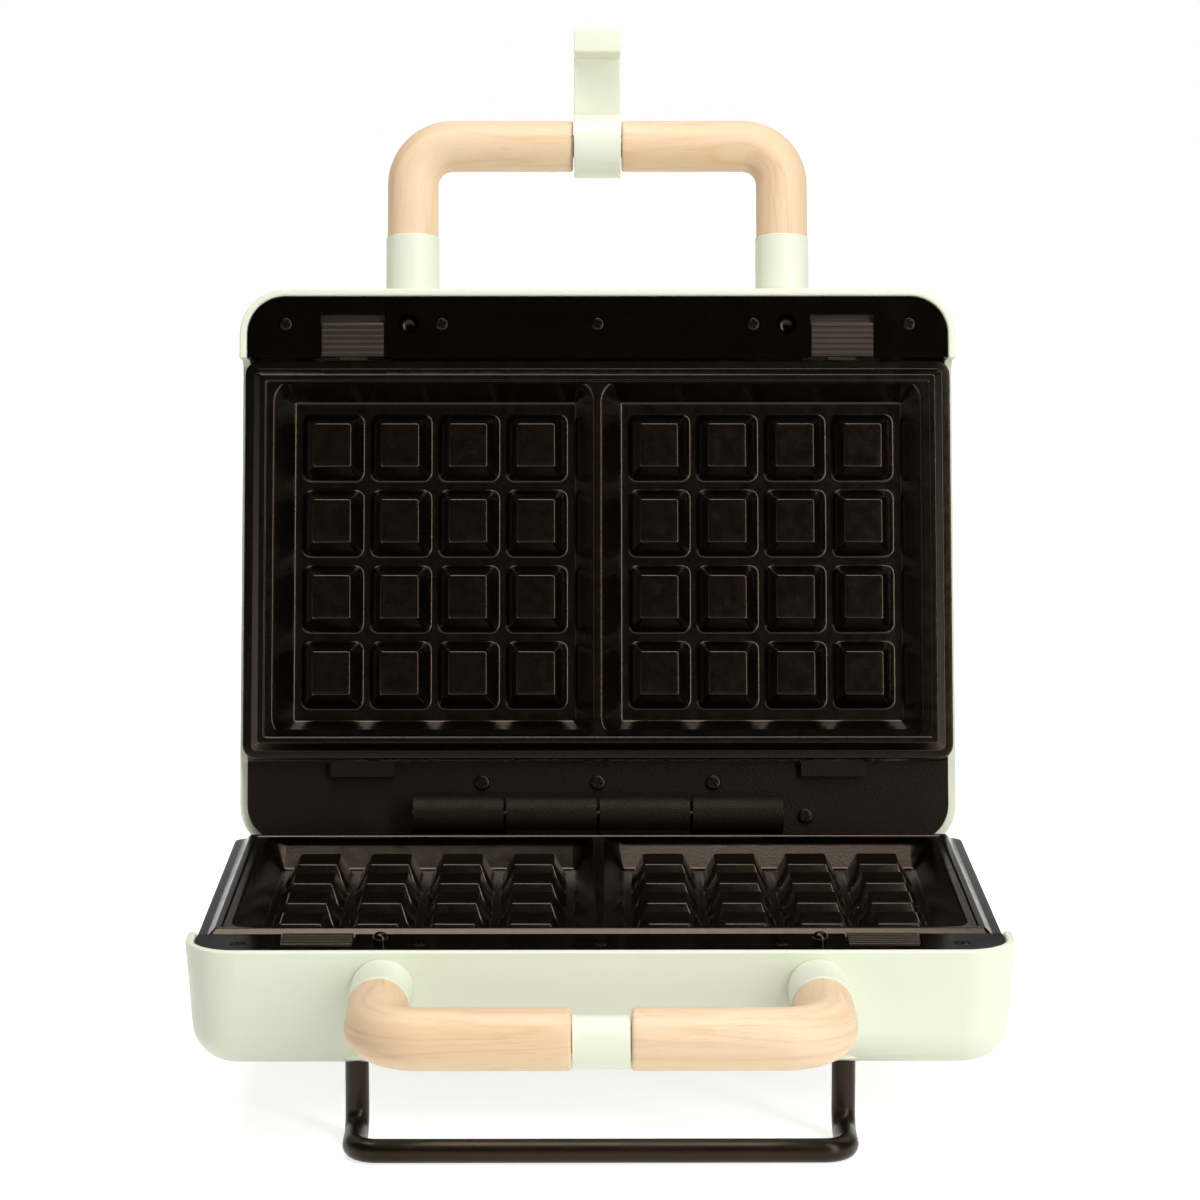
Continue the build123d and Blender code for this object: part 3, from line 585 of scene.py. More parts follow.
def new_piece(mesh, body, material, replaced):
    """A finished piece named after its mesh, painted and riding on its body."""
    piece = link_object(mesh.name, mesh)
    set_material(mesh, material)
    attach(piece, body)
    if replaced:
        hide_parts(replaced)
    return piece


def stand_piece(mesh, matrix, degrees, body, material, replaced):
    """A finished piece whose mesh is moved to its place and smoothed."""
    mesh.transform(matrix)
    smooth(mesh, degrees)
    return new_piece(mesh, body, material, replaced)


def to_mesh(bm, name):
    bmesh.ops.recalc_face_normals(bm, faces=bm.faces)
    mesh = bpy.data.meshes.new(name)
    bm.to_mesh(mesh)
    bm.free()
    return mesh


def paint(material, *nodes):
    """Gives CAD nodes that stay their material."""
    for node in nodes:
        set_material(frame["nodes"][node].data, material)


def soften(material, width, *nodes, segments=2):
    """Stands copies of CAD nodes, with small rounds on their sharp edges, in place of the nodes."""
    for node in nodes:
        mesh = frame["nodes"][node].data.copy()
        mesh.name = f"{node}_finished"
        shape = bmesh.new()
        shape.from_mesh(mesh)
        bmesh.ops.remove_doubles(shape, verts=shape.verts, dist=WELD)
        bmesh.ops.dissolve_limit(shape, angle_limit=CREASE, verts=shape.verts, edges=shape.edges)
        shape.to_mesh(mesh)
        shape.free()
        smooth(mesh, MOULDING_EDGE)
        piece = new_piece(mesh, frame["nodes"][node]["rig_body"], material, node)
        bevel = piece.modifiers.new("edge rounds", "BEVEL")
        bevel.width = width
        bevel.segments = segments
        bevel.limit_method = "ANGLE"
        bevel.angle_limit = ROUNDED_FROM
        bevel.harden_normals = True


def fillet_profile(corners, steps=4):
    """Rounds a profile: corners are (x, y, radius), and the ends stay sharp."""
    points = [Vector(corners[0][:2])]
    for before, corner, after in zip(corners, corners[1:], corners[2:]):
        point = Vector(corner[:2])
        radius = corner[2]
        back = (Vector(before[:2]) - point).normalized()
        ahead = (Vector(after[:2]) - point).normalized()
        half = math.acos(max(-1.0, min(1.0, back.dot(ahead)))) / 2
        if radius <= 0 or half > NEARLY_STRAIGHT:
            points.append(point)
            continue
        reach = radius / math.tan(half)
        centre = point + (back + ahead).normalized() * (radius / math.sin(half))
        start = point + back * reach - centre
        end = point + ahead * reach - centre
        for step in range(steps + 1):
            arm = start.lerp(end, step / steps).normalized() * radius
            points.append(centre + arm)
    points.append(Vector(corners[-1][:2]))
    return points


def rounded_loop(width, length, radius, steps=6):
    """Points of a rounded rectangle about the origin, anticlockwise."""
    radius = max(radius, SHARPEST_CORNER)
    points = []
    corners = ((1, 1), (-1, 1), (-1, -1), (1, -1))
    for number, (across, along) in enumerate(corners):
        centre = Vector((across * (width / 2 - radius), along * (length / 2 - radius)))
        for step in range(steps + 1):
            turn = math.pi / 2 * (number + step / steps)
            points.append(centre + Vector((math.cos(turn), math.sin(turn))) * radius)
    return points


def add_loop(bm, points, depth, centre=(0.0, 0.0)):
    return [bm.verts.new((x + centre[0], y + centre[1], depth)) for x, y in points]


def add_circle(bm, radius, depth, count):
    turns = [math.tau * number / count for number in range(count)]
    return add_loop(bm, [(radius * math.cos(turn), radius * math.sin(turn)) for turn in turns], depth)


def loop_edges(bm, loop):
    return [bm.edges.get((first, second)) for first, second in zip(loop, loop[1:] + loop[:1])]


def join_loops(bm, loops):
    """Faces between each loop and the next."""
    for first, second in zip(loops, loops[1:]):
        count = len(first)
        for i in range(count):
            j = (i + 1) % count
            bm.faces.new((first[i], first[j], second[j], second[i]))


def stack_loops(bm, width, length, radius, profile, centre=(0.0, 0.0)):
    """Joined rounded loops at each (inset, depth) of a profile; returns the first and the last loop."""
    loops = []
    for inset, depth in profile:
        points = rounded_loop(width - 2 * inset, length - 2 * inset, radius - inset)
        loops.append(add_loop(bm, points, depth, centre))
    join_loops(bm, loops)
    return loops[0], loops[-1]


# Geometry node trees
def end_tree(tree, given, result, geometry):
    """Ends a tree with Realize Instances and Set Material."""
    real = add_node(tree, "GeometryNodeRealizeInstances", {"Geometry": geometry})
    sockets = {"Geometry": real.outputs["Geometry"], "Material": given["Material"]}
    painted = add_node(tree, "GeometryNodeSetMaterial", sockets)
    tree.links.new(painted.outputs["Geometry"], result)


def block_grid_tree():
    """Sets a block out in columns and rows, once in each cavity."""
    tree, given, result = new_tree(
        "GeometryNodeTree", "Waffle blocks",
        [("Geometry", "Geometry", None), ("Block", "Object", None), ("Columns", "Int", 4), ("Rows", "Int", 4),
         ("Column pitch", "Float", 0.02), ("Row pitch", "Float", 0.02), ("Cavity spacing", "Float", 0.1),
         ("Centre", "Vector", (0, 0, 0)), ("Material", "Material", None)],
        ("Geometry", "Geometry"),
    )
    spaces_across = calculate(tree, "SUBTRACT", given["Columns"], 1)
    spaces_along = calculate(tree, "SUBTRACT", given["Rows"], 1)
    grid = add_node(tree, "GeometryNodeMeshGrid", {
        "Size X": calculate(tree, "MULTIPLY", spaces_across, given["Column pitch"]),
        "Size Y": calculate(tree, "MULTIPLY", spaces_along, given["Row pitch"]),
        "Vertices X": given["Columns"],
        "Vertices Y": given["Rows"],
    })
    grids = tree.nodes.new("GeometryNodeJoinGeometry")
    for side in (-0.5, 0.5):
        shift = calculate(tree, "MULTIPLY", given["Cavity spacing"], side)
        offset = add_node(tree, "ShaderNodeCombineXYZ", {"X": shift})
        place = add_node(tree, "ShaderNodeVectorMath", {0: offset.outputs["Vector"], 1: given["Centre"]})
        sockets = {"Geometry": grid.outputs["Mesh"], "Translation": place.outputs["Vector"]}
        moved = add_node(tree, "GeometryNodeTransform", sockets)
        tree.links.new(moved.outputs["Geometry"], grids.inputs["Geometry"])
    block = add_node(tree, "GeometryNodeObjectInfo", {"Object": given["Block"]})
    sockets = {"Points": grids.outputs["Geometry"], "Instance": block.outputs["Geometry"]}
    spread = add_node(tree, "GeometryNodeInstanceOnPoints", sockets)
    with_tray = tree.nodes.new("GeometryNodeJoinGeometry")
    tree.links.new(spread.outputs["Instances"], with_tray.inputs["Geometry"])
    tree.links.new(given["Geometry"], with_tray.inputs["Geometry"])
    end_tree(tree, given, result, with_tray.outputs["Geometry"])
    return tree


def fastener_tree():
    """Stands a fastener on every point, each turned about its own axis by a seeded random angle."""
    tree, given, result = new_tree(
        "GeometryNodeTree", "Fasteners",
        [("Geometry", "Geometry", None), ("Fastener", "Object", None), ("Seed", "Int", 1),
         ("Material", "Material", None)],
        ("Geometry", "Geometry"),
    )
    fastener = add_node(tree, "GeometryNodeObjectInfo", {"Object": given["Fastener"]})
    sockets = {"Min": (0, 0, 0), "Max": (0, 0, math.pi / 2), "Seed": given["Seed"]}
    turn = add_node(tree, "FunctionNodeRandomValue", sockets, data_type="FLOAT_VECTOR")
    spread = add_node(tree, "GeometryNodeInstanceOnPoints", {
        "Points": given["Geometry"],
        "Instance": fastener.outputs["Geometry"],
        "Rotation": turn.outputs["Value"],
    })
    end_tree(tree, given, result, spread.outputs["Instances"])
    return tree


def coil_tree():
    """A round wire coil along the z axis, from the origin."""
    tree, given, result = new_tree(
        "GeometryNodeTree", "Coil spring",
        [("Geometry", "Geometry", None), ("Turns", "Float", 5.0), ("Coil radius", "Float", 0.0015),
         ("Wire radius", "Float", 0.0002), ("Length", "Float", 0.004), ("Material", "Material", None)],
        ("Geometry", "Geometry"),
    )
    spiral = add_node(tree, "GeometryNodeCurveSpiral", {
        "Resolution": 20,
        "Rotations": given["Turns"],
        "Start Radius": given["Coil radius"],
        "End Radius": given["Coil radius"],
        "Height": given["Length"],
    })
    sockets = {"Resolution": 8, "Radius": given["Wire radius"]}
    wire = add_node(tree, "GeometryNodeCurvePrimitiveCircle", sockets)
    sockets = {"Curve": spiral.outputs["Curve"], "Profile Curve": wire.outputs["Curve"], "Fill Caps": True}
    tube = add_node(tree, "GeometryNodeCurveToMesh", sockets)
    end_tree(tree, given, result, tube.outputs["Mesh"])
    return tree


TREE_MAKERS = {
    "Tone drift": tone_drift_group,
    "Gloss drift": gloss_drift_group,
    "Surface skin": skin_group,
    "Flecks": fleck_group,
    "Waffle blocks": block_grid_tree,
    "Fasteners": fastener_tree,
    "Coil spring": coil_tree,
}


def tree_named(name):
    """A node group by its name, made when first asked for."""
    return bpy.data.node_groups.get(name) or TREE_MAKERS[name]()


def grow(name, start_mesh, tree_name, **values):
    """Runs a geometry node tree on a mesh and returns the result as a plain mesh."""
    tree = tree_named(tree_name)
    carrier = link_object(f"{name}_carrier", start_mesh)
    modifier = carrier.modifiers.new(tree_name, "NODES")
    modifier.node_group = tree
    for item in tree.interface.items_tree:
        label = item.name.replace(" ", "_").lower()
        if item.item_type == "SOCKET" and item.in_out == "INPUT" and label in values:
            modifier[item.identifier] = values[label]
    mesh = evaluated_mesh(carrier)
    mesh.name = name
    return mesh


# Plates
def tray_mesh(half, form):
    """The cast tray of a plate: flange, beaded rim and two sloping cavities, in the half's own axes."""
    low, high = local_box(f"{half}_plate", half)
    centre = (0.0, (low.y + high.y) / 2)
    width = high.x - low.x
    length = high.y - low.y
    top = low.z
    flange_top = top + form.flange_depth
    flange_back = flange_top + form.flange_thickness
    edge = form.edge_round
    rim_edge = form.flange_width + form.rim_width
    bead_end = rim_edge + form.bead_width
    land = top + form.bead_height
    outside = fillet_profile([
        (form.skirt_inset + SKIRT_TAPER, high.z, 0),
        (form.skirt_inset, flange_back, edge * 0.5),
        (0.0, flange_back, edge * 0.5),
        (0.0, flange_top, edge * 0.5),
        (form.flange_width, flange_top, edge * 0.7),
        (rim_edge, top, edge * 0.6),
        (bead_end, top, edge * 0.3),
        (bead_end + form.bead_height, land, edge * 0.3),
        (bead_end + form.bead_height + edge, land, 0),
    ])
    bm = bmesh.new()
    bottom, rim = stack_loops(bm, width, length, PLATE_CORNER, outside, centre)
    bm.faces.new(bottom)
    cavity_width = (width - 2 * form.side_land - form.web) / 2
    cavity_length = length - 2 * form.end_land
    cavity_corner = CAVITY_CORNER + form.cavity_run * 0.5
    floor = top + form.cavity_depth
    inside = fillet_profile([
        (-edge * 1.2, land, 0),
        (0.0, land, edge),
        (form.cavity_run, floor, edge * 1.6),
        (form.cavity_run + 2.5 * edge, floor, 0),
    ])
    edges = loop_edges(bm, rim)
    for side in (-1, 1):
        middle = (side * (cavity_width + form.web) / 2, centre[1])
        lip, base = stack_loops(bm, cavity_width, cavity_length, cavity_corner, inside, middle)
        bm.faces.new(base)
        edges += loop_edges(bm, lip)
    bmesh.ops.triangle_fill(bm, use_beauty=True, use_dissolve=False, edges=edges)
    return to_mesh(bm, f"{half}_plate_tray"), (centre[0], centre[1], floor), cavity_width + form.web


def block_mesh(form):
    """One block, its foot on the origin's plane, rising towards the parting plane."""
    edge = form.edge_round
    height = form.block_height
    sides = fillet_profile([
        (-2.5 * edge, FOOT_SINK, 0),
        (0.0, 0.0, edge * 1.3),
        (form.block_run, -height, edge * 0.7),
        (form.block_run + 2 * edge, -height, 0),
    ])
    bm = bmesh.new()
    foot, crown = stack_loops(bm, form.block_width, form.block_length, BLOCK_CORNER, sides)
    bm.faces.new(foot)
    bm.faces.new(crown)
    return to_mesh(bm, "waffle_block")


class GRILL_OT_plates(Operator):
    """Cast waffle plates with their blocks"""
    bl_idname = "grill.plates"
    bl_label = "Waffle plates"

    def execute(self, context):
        form = context.scene.grill.plate
        coating = material_named("flecked_coating")
        block = link_object("waffle_block", block_mesh(form))
        for half in HALVES:
            tray, centre, spacing = tray_mesh(half, form)
            mesh = grow(
                f"{half}_waffle_plate", tray, "Waffle blocks", block=block, columns=form.columns,
                rows=form.rows, column_pitch=form.column_pitch, row_pitch=form.row_pitch,
                cavity_spacing=spacing, centre=centre, material=coating,
            )
            plate = f"{half}_plate"
            stand_piece(mesh, half_matrix(half), CASTING_EDGE, plate, coating.name, plate)
        bpy.data.objects.remove(block)
        return {"FINISHED"}


# Grips
def grip_rings(start, corner, finish, bend, end_round):
    """Ring places along a bent grip: (centre, tangent, distance along, how much the radius shrinks)."""
    leg_steps = 6
    bend_steps = 16
    reach_steps = 8
    end_steps = 4
    first = (corner - start).normalized()
    second = (finish - corner).normalized()
    leg = (corner - start).length - bend
    reach = (finish - corner).length - bend
    rings = []
    for step in range(leg_steps + 1):
        rings.append((start + first * (leg * step / leg_steps), first, leg * step / leg_steps, 0.0))
    centre = corner - first * bend + second * bend
    for step in range(1, bend_steps):
        turn = math.pi / 2 * step / bend_steps
        place = centre - second * (bend * math.cos(turn)) + first * (bend * math.sin(turn))
        tangent = first * math.cos(turn) + second * math.sin(turn)
        rings.append((place, tangent, leg + bend * turn, 0.0))
    after_bend = leg + bend * math.pi / 2
    straight = reach - end_round
    for step in range(reach_steps + 1):
        place = corner + second * (bend + straight * step / reach_steps)
        rings.append((place, second, after_bend + straight * step / reach_steps, 0.0))
    for step in range(1, end_steps + 1):
        turn = math.pi / 2 * step / end_steps
        along = straight + end_round * math.sin(turn)
        place = corner + second * (bend + along)
        rings.append((place, second, after_bend + along, end_round * (1 - math.cos(turn))))
    return rings


def grip_mesh(name, path, radius, form, number):
    """A bent round grip; its unbent attribute holds its straight form, moved on by the grip's number."""
    start, corner, finish = path
    rings = grip_rings(start, corner, finish, form.bend_radius, form.end_round)
    out = (corner - start).normalized().cross((finish - corner).normalized()).normalized()
    figure_place = Vector([step * number for step in FIGURE_STEP])
    bm = bmesh.new()
    unbent = bm.verts.layers.float_vector.new("unbent")
    loops = []
    for place, tangent, along, shrink in rings:
        inward = out.cross(tangent)
        loop = []
        for point in range(GRIP_POINTS):
            turn = math.tau * point / GRIP_POINTS
            across = math.cos(turn) * (radius - shrink)
            up = math.sin(turn) * (radius - shrink)
            vertex = bm.verts.new(place + inward * across + out * up)
            vertex[unbent] = Vector((along, across, up)) + figure_place
            loop.append(vertex)
        loops.append(loop)
    join_loops(bm, loops)
    bm.faces.new(loops[0])
    bm.faces.new(loops[-1])
    return to_mesh(bm, name)


class GRILL_OT_grips(Operator):
    """Wooden handle grips with a figure that follows the bend"""
    bl_idname = "grill.grips"
    bl_label = "Grips"

    def execute(self, context):
        form = context.scene.grill.grip
        for number, (half, side) in enumerate(QUARTERS):
            node = f"{half}_grip_{side}"
            low, high = local_box(node, half)
            depth = (low.z + high.z) / 2
            radius = (high.z - low.z) / 2
            sign = 1 if high.x + low.x > 0 else -1
            outer = sign * (max(abs(low.x), abs(high.x)) - radius)
            inner = sign * min(abs(low.x), abs(high.x))
            crossbar = low.y + radius
            path = (
                Vector((outer, high.y, depth)), Vector((outer, crossbar, depth)),
                Vector((inner, crossbar, depth)),
            )
            mesh = grip_mesh(f"{node}_wood", path, radius, form, number)
            stand_piece(mesh, half_matrix(half), ROUND_EDGE, half, "pale_hardwood", node)
        return {"FINISHED"}


# Screws
def loose_boxes(node, half):
    """The corner box of each separate solid in a CAD node, in the half's own axes, front row first."""
    back = half_matrix(half).inverted()
    shape = bmesh.new()
    shape.from_mesh(frame["nodes"][node].data)
    bmesh.ops.remove_doubles(shape, verts=shape.verts, dist=WELD)
    unseen = set(shape.verts)
    boxes = []
    while unseen:
        group = []
        queue = [unseen.pop()]
        while queue:
            vertex = queue.pop()
            group.append(back @ vertex.co)
            for edge in vertex.link_edges:
                other = edge.other_vert(vertex)
                if other in unseen:
                    unseen.remove(other)
                    queue.append(other)
        boxes.append(corner_box(group))
    shape.free()
    boxes.sort(key=lambda box: (round(box[0].y, 4), box[0].x))
    return boxes


def tops(boxes):
    """The middle of each box's lowest face, which on a screw or peg is the face that shows."""
    return [Vector(((low.x + high.x) / 2, (low.y + high.y) / 2, low.z)) for low, high in boxes]


def screw_profile(head, length, form):
    """(radius, depth) points of a domed head and a threaded shank."""
    dome_steps = 5
    flat_share = 0.55
    round_share = 0.45
    root = SHANK_RADIUS * 0.8
    profile = []
    for step in range(1, dome_steps + 1):
        turn = math.pi / 2 * step / dome_steps
        radius = head * (flat_share + round_share * math.sin(turn))
        profile.append((radius, form.dome * (1 - math.cos(turn)) + FOOT_SINK * step))
    profile.append((head, HEAD_HEIGHT))
    for turn in range(int((length - HEAD_HEIGHT) / form.thread_pitch)):
        depth = HEAD_HEIGHT + form.thread_pitch * turn
        profile.append((root, depth + 0.05 * form.thread_pitch))
        profile.append((SHANK_RADIUS, depth + 0.5 * form.thread_pitch))
    profile.append((root, length - TIP_LENGTH))
    return profile


def screw_mesh(low, high, form):
    """A pan-head screw with a cross recess and a thread, its head's top on the origin's plane."""
    head = (high.x - low.x) / 2
    bm = bmesh.new()
    loops = [
        add_circle(bm, radius, depth, RING_POINTS)
        for radius, depth in screw_profile(head, high.z - low.z, form)
    ]
    join_loops(bm, loops)
    bm.faces.new(loops[0])
    bm.faces.new(loops[-1])
    blank = link_object("screw_blank", to_mesh(bm, "screw_blank"))
    cross = bmesh.new()
    arm = Matrix.Diagonal((head * 1.25, form.cross_width, 2 * form.cross_depth, 1.0))
    for turn in (0.0, math.pi / 2):
        bmesh.ops.create_cube(cross, size=1.0, matrix=Matrix.Rotation(turn, 4, "Z") @ arm)
    cutter = link_object("screw_cross", to_mesh(cross, "screw_cross"))
    cut = blank.modifiers.new("cross recess", "BOOLEAN")
    cut.operation = "DIFFERENCE"
    cut.solver = "EXACT"
    cut.use_self = True
    cut.object = cutter
    mesh = evaluated_mesh(blank)
    bpy.data.objects.remove(cutter)
    return mesh


def points_mesh(name, places):
    mesh = bpy.data.meshes.new(name)
    mesh.from_pydata(places, [], [])
    return mesh


class GRILL_OT_screws(Operator):
    """Cross-recess screws in the front decks and the hinge panels"""
    bl_idname = "grill.screws"
    bl_label = "Screws"
    first_seed = 3

    def execute(self, context):
        form = context.scene.grill.screw
        steel = material_named("blackened_steel")
        for half in HALVES:
            for number, row in enumerate(("deck", "hinge")):
                node = f"{half}_{row}_screws"
                boxes = loose_boxes(node, half)
                screw = link_object("screw", screw_mesh(*boxes[0], form))
                points = points_mesh(f"{node}_points", tops(boxes))
                seed = self.first_seed + number
                mesh = grow(f"{node}_cut", points, "Fasteners", fastener=screw, seed=seed, material=steel)
                bpy.data.objects.remove(screw)
                stand_piece(mesh, half_matrix(half), SCREW_EDGE, half, steel.name, node)
        return {"FINISHED"}


# Springs and sockets
class GRILL_OT_springs(Operator):
    """Wound springs behind the release catches"""
    bl_idname = "grill.springs"
    bl_label = "Catch springs"

    def execute(self, context):
        form = context.scene.grill.spring
        steel = material_named("zinc_plated_steel")
        lay_down = Matrix.Rotation(-math.pi / 2, 4, "X")
        for half, side in QUARTERS:
            node = f"{half}_catch_spring_{side}"
            low, high = local_box(node, half)
            across = (low.x + high.x) / 2
            depth = (low.z + high.z) / 2
            radius = (high.x - low.x) / 2
            mesh = grow(
                f"{node}_coil", bpy.data.meshes.new(f"{node}_start"), "Coil spring", turns=form.turns,
                coil_radius=radius - form.wire / 2, wire_radius=form.wire / 2,
                length=high.y - low.y - form.wire, material=steel,
            )
            start = Matrix.Translation((across, low.y + form.wire / 2, depth))
            place = half_matrix(half) @ start @ lay_down
            coil = stand_piece(mesh, place, ROUND_EDGE, half, steel.name, node)
            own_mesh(coil)
        return {"FINISHED"}


def socket_mesh(form):
    """A blind round cup that opens on the origin's plane, with a dished floor."""
    outside = form.bore + form.wall
    back = form.depth + form.wall
    bm = bmesh.new()
    shell = [(form.bore, 0.0), (outside, 0.0), (outside, back), (outside * 0.3, back)]
    lining = [
        (form.bore * 0.25, form.depth), (form.bore * 0.8, form.depth - 0.5 * form.wall),
        (form.bore, form.depth - 1.5 * form.wall), (form.bore, 0.0),
    ]
    outer = [add_circle(bm, radius, depth, CUP_POINTS) for radius, depth in shell]
    inner = [add_circle(bm, radius, depth, CUP_POINTS) for radius, depth in lining]
    join_loops(bm, outer)
    join_loops(bm, inner)
    bm.faces.new(outer[-1])
    bm.faces.new(inner[0])
    bmesh.ops.remove_doubles(bm, verts=bm.verts, dist=WELD)
    return to_mesh(bm, "peg_socket")


class GRILL_OT_sockets(Operator):
    """Blind sockets behind the lid deck that take the base's locating pegs"""
    bl_idname = "grill.sockets"
    bl_label = "Peg sockets"

    def execute(self, context):
        form = context.scene.grill.socket
        gloss = material_named("gloss_black_moulding")
        cup = link_object("peg_socket", socket_mesh(form))
        pegs = tops(loose_boxes("base_locating_pegs", "base"))
        mouth = local_box("lid_front_deck", "lid")[0].z + form.start
        points = points_mesh("peg_socket_points", [(peg.x, peg.y, mouth) for peg in pegs])
        mesh = grow("lid_peg_sockets", points, "Fasteners", fastener=cup, seed=1, material=gloss)
        bpy.data.objects.remove(cup)
        stand_piece(mesh, half_matrix("lid"), SOCKET_EDGE, "lid", gloss.name, None)
        return {"FINISHED"}


# Pieces that keep their CAD shape
class GRILL_OT_shells(Operator):
    """Mint mouldings: shells, ferrules, sleeve and latch clip"""
    bl_idname = "grill.shells"
    bl_label = "Mint mouldings"

    def execute(self, context):
        for half in HALVES:
            paint("mint_moulding", f"{half}_shell")
            soften("mint_moulding", 0.35 * MM, f"{half}_ferrule_left", f"{half}_ferrule_right")
        soften("mint_moulding", 0.3 * MM, "base_handle_sleeve")
        soften("mint_moulding", 0.6 * MM, "latch_clip", segments=3)
        return {"FINISHED"}


class GRILL_OT_black_mouldings(Operator):
    """Black mouldings: decks, catches, hinge panels, pegs and feet"""
    bl_idname = "grill.black_mouldings"
    bl_label = "Black mouldings"

    def execute(self, context):
        paint("gloss_black_moulding", "base_front_deck", "lid_front_deck", "base_locating_pegs")
        paint("matt_black_moulding", "terminal_block", "rear_foot_left", "rear_foot_right")
        paint("black_rubber", "cord_bushing")
        for half, side in QUARTERS:
            soften("catch_moulding", 0.2 * MM, f"{half}_release_catch_{side}")
        soften("matt_black_moulding", 0.3 * MM, "lid_hinge_panel", "base_hinge_cover")
        soften("black_rubber", 0.5 * MM, "rear_foot_pad_left", "rear_foot_pad_right")
        return {"FINISHED"}


class GRILL_OT_metalwork(Operator):
    """Stand bar, hinge pin, handle cores and heaters"""
    bl_idname = "grill.metalwork"
    bl_label = "Metalwork"

    def execute(self, context):
        paint("black_bar_enamel", "stand_bar")
        paint("blackened_steel", "hinge_pin")
        paint("zinc_plated_steel", "stand_bar_push_nuts", "rear_foot_screws", "thermal_fuse")
        for half in HALVES:
            paint("zinc_plated_steel", f"{half}_handle_core", f"{half}_thermostat")
            paint("heater_tube_steel", f"{half}_heating_element")
            paint("bright_aluminium_sheet", f"{half}_reflector_tray")
            soften("zinc_plated_steel", 0.2 * MM, f"{half}_handle_bracket")
        return {"FINISHED"}


# Stage
def area_light(name, place, aim, size, energy):
    light = bpy.data.lights.new(name, "AREA")
    light.shape = "RECTANGLE"
    light.size, light.size_y = size
    light.energy = energy
    lamp = link_object(name, light)
    lamp.location = place
    direction = Vector(aim) - Vector(place)
    lamp.rotation_euler = direction.to_track_quat("-Z", "Y").to_euler()


def floor_material():
    """A pale matt floor that glows for camera, glossy and transmission rays, more so further off."""
    material = bpy.data.materials.new("pale_floor")
    material.use_nodes = True
    tree = material.node_tree
    tree.nodes.clear()
    coordinates = tree.nodes.new("ShaderNodeTexCoord")
    sockets = {0: coordinates.outputs["Object"]}
    distance = add_node(tree, "ShaderNodeVectorMath", sockets, operation="LENGTH").outputs["Value"]
    rays = tree.nodes.new("ShaderNodeLightPath").outputs
    seen = calculate(tree, "ADD", rays["Is Camera Ray"], rays["Is Glossy Ray"])
    seen_or_through = calculate(tree, "ADD", seen, rays["Is Transmission Ray"], clamp=True)
    strength = remap(tree, distance, GLOW_DISTANCES, GLOW_STRENGTHS)
    glow = calculate(tree, "MULTIPLY", seen_or_through, strength)
    diffuse = add_node(tree, "ShaderNodeBsdfDiffuse", {"Color": FLOOR_COLOUR})
    emission = add_node(tree, "ShaderNodeEmission", {"Strength": glow})
    both = add_node(tree, "ShaderNodeAddShader", {0: diffuse.outputs[0], 1: emission.outputs[0]})
    add_node(tree, "ShaderNodeOutputMaterial", {"Surface": both.outputs[0]})
    return material


def pale_world(overhead):
    """A white band round the horizon under a dimmer sky."""
    world = bpy.data.worlds.new("pale_surround")
    bpy.context.scene.world = world
    world.use_nodes = True
    tree = world.node_tree
    tree.nodes.clear()
    coordinates = tree.nodes.new("ShaderNodeTexCoord")
    split = add_node(tree, "ShaderNodeSeparateXYZ", {"Vector": coordinates.outputs["Generated"]})
    level = remap(tree, split.outputs["Z"], HORIZON_BAND, (1.0, overhead))
    background = add_node(tree, "ShaderNodeBackground", {"Color": WHITE, "Strength": level})
    add_node(tree, "ShaderNodeOutputWorld", {"Surface": background.outputs[0]})


def add_camera(stage):
    camera_data = bpy.data.cameras.new("camera")
    camera_data.sensor_width = 36.0
    camera_data.lens = stage.lens
    camera_data.clip_start = 0.05
    camera = link_object("camera", camera_data)
    camera.location = stage.camera_place
    camera.rotation_euler = (math.pi / 2 - stage.camera_drop, 0.0, -stage.camera_turn)
    bpy.context.scene.camera = camera


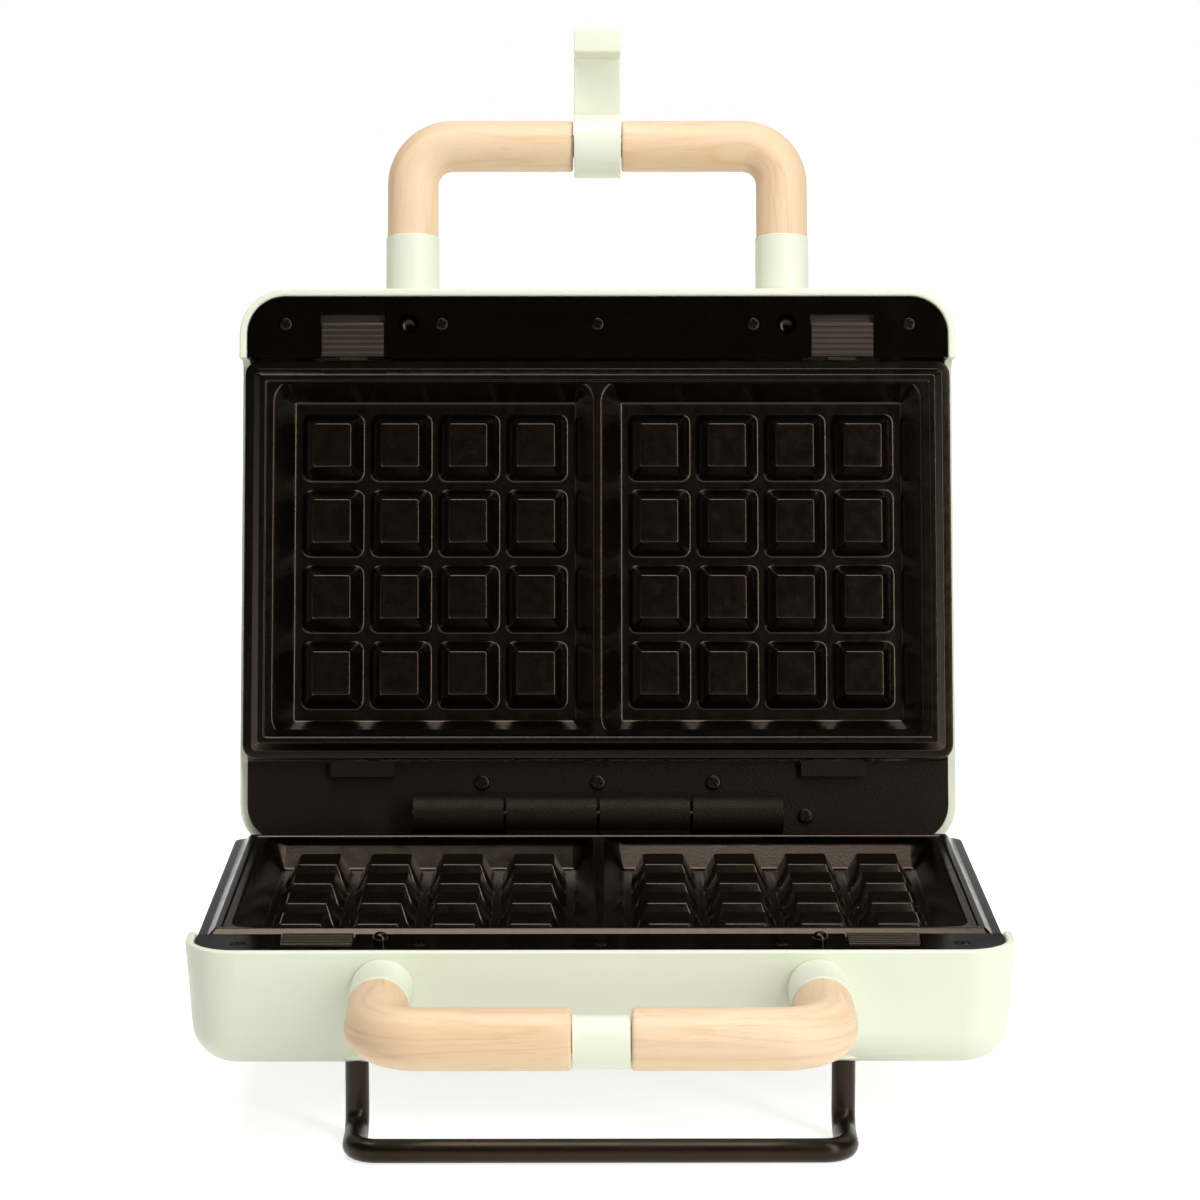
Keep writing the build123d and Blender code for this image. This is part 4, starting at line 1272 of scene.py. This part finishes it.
class GRILL_OT_stage(Operator):
    """Pale floor, soft lights and the camera"""
    bl_idname = "grill.stage"
    bl_label = "Stage"

    def execute(self, context):
        stage = context.scene.grill.stage
        shape = bmesh.new()
        bmesh.ops.create_grid(shape, x_segments=1, y_segments=1, size=FLOOR_SIZE)
        floor = link_object("floor", to_mesh(shape, "floor"))
        floor.data.materials.append(floor_material())
        for name, (place, aim, size, power_name) in LAMPS.items():
            area_light(name, place, aim, size, getattr(stage, power_name))
        pale_world(stage.overhead)
        add_camera(stage)
        context.scene.view_settings.view_transform = "Standard"
        return {"FINISHED"}


OPERATORS = (
    GRILL_OT_plates,
    GRILL_OT_grips,
    GRILL_OT_screws,
    GRILL_OT_springs,
    GRILL_OT_sockets,
    GRILL_OT_shells,
    GRILL_OT_black_mouldings,
    GRILL_OT_metalwork,
    GRILL_OT_stage,
)


def own_names(group):
    """The names of a property group's own properties."""
    return [name for name in group.bl_rna.properties.keys() if name not in ("rna_type", "name")]


class GRILL_PT_panel(Panel):
    """Lists the grill's pieces and their sizes"""
    bl_idname = "GRILL_PT_panel"
    bl_label = "Waffle grill"
    bl_space_type = "VIEW_3D"
    bl_region_type = "UI"
    bl_category = "Grill"

    def draw(self, context):
        for operator in OPERATORS:
            self.layout.operator(operator.bl_idname)
        settings = context.scene.grill
        for group in [getattr(settings, name) for name in own_names(settings)]:
            box = self.layout.box()
            for name in own_names(group):
                box.prop(group, name)


CLASSES = (
    GrillShellFinish, GrillPlateForm, GrillGripForm, GrillScrewForm, GrillSpringForm, GrillSocketForm,
    GrillStage, GrillSettings,
) + OPERATORS + (GRILL_PT_panel,)


def register():
    for part in CLASSES:
        bpy.utils.register_class(part)
    bpy.types.Scene.grill = PointerProperty(type=GrillSettings)


def unregister():
    del bpy.types.Scene.grill
    for part in reversed(CLASSES):
        bpy.utils.unregister_class(part)


def main():
    register()
    for operator in OPERATORS:
        category, name = operator.bl_idname.split(".")
        getattr(getattr(bpy.ops, category), name)()


if __name__ == "__main__":
    main()
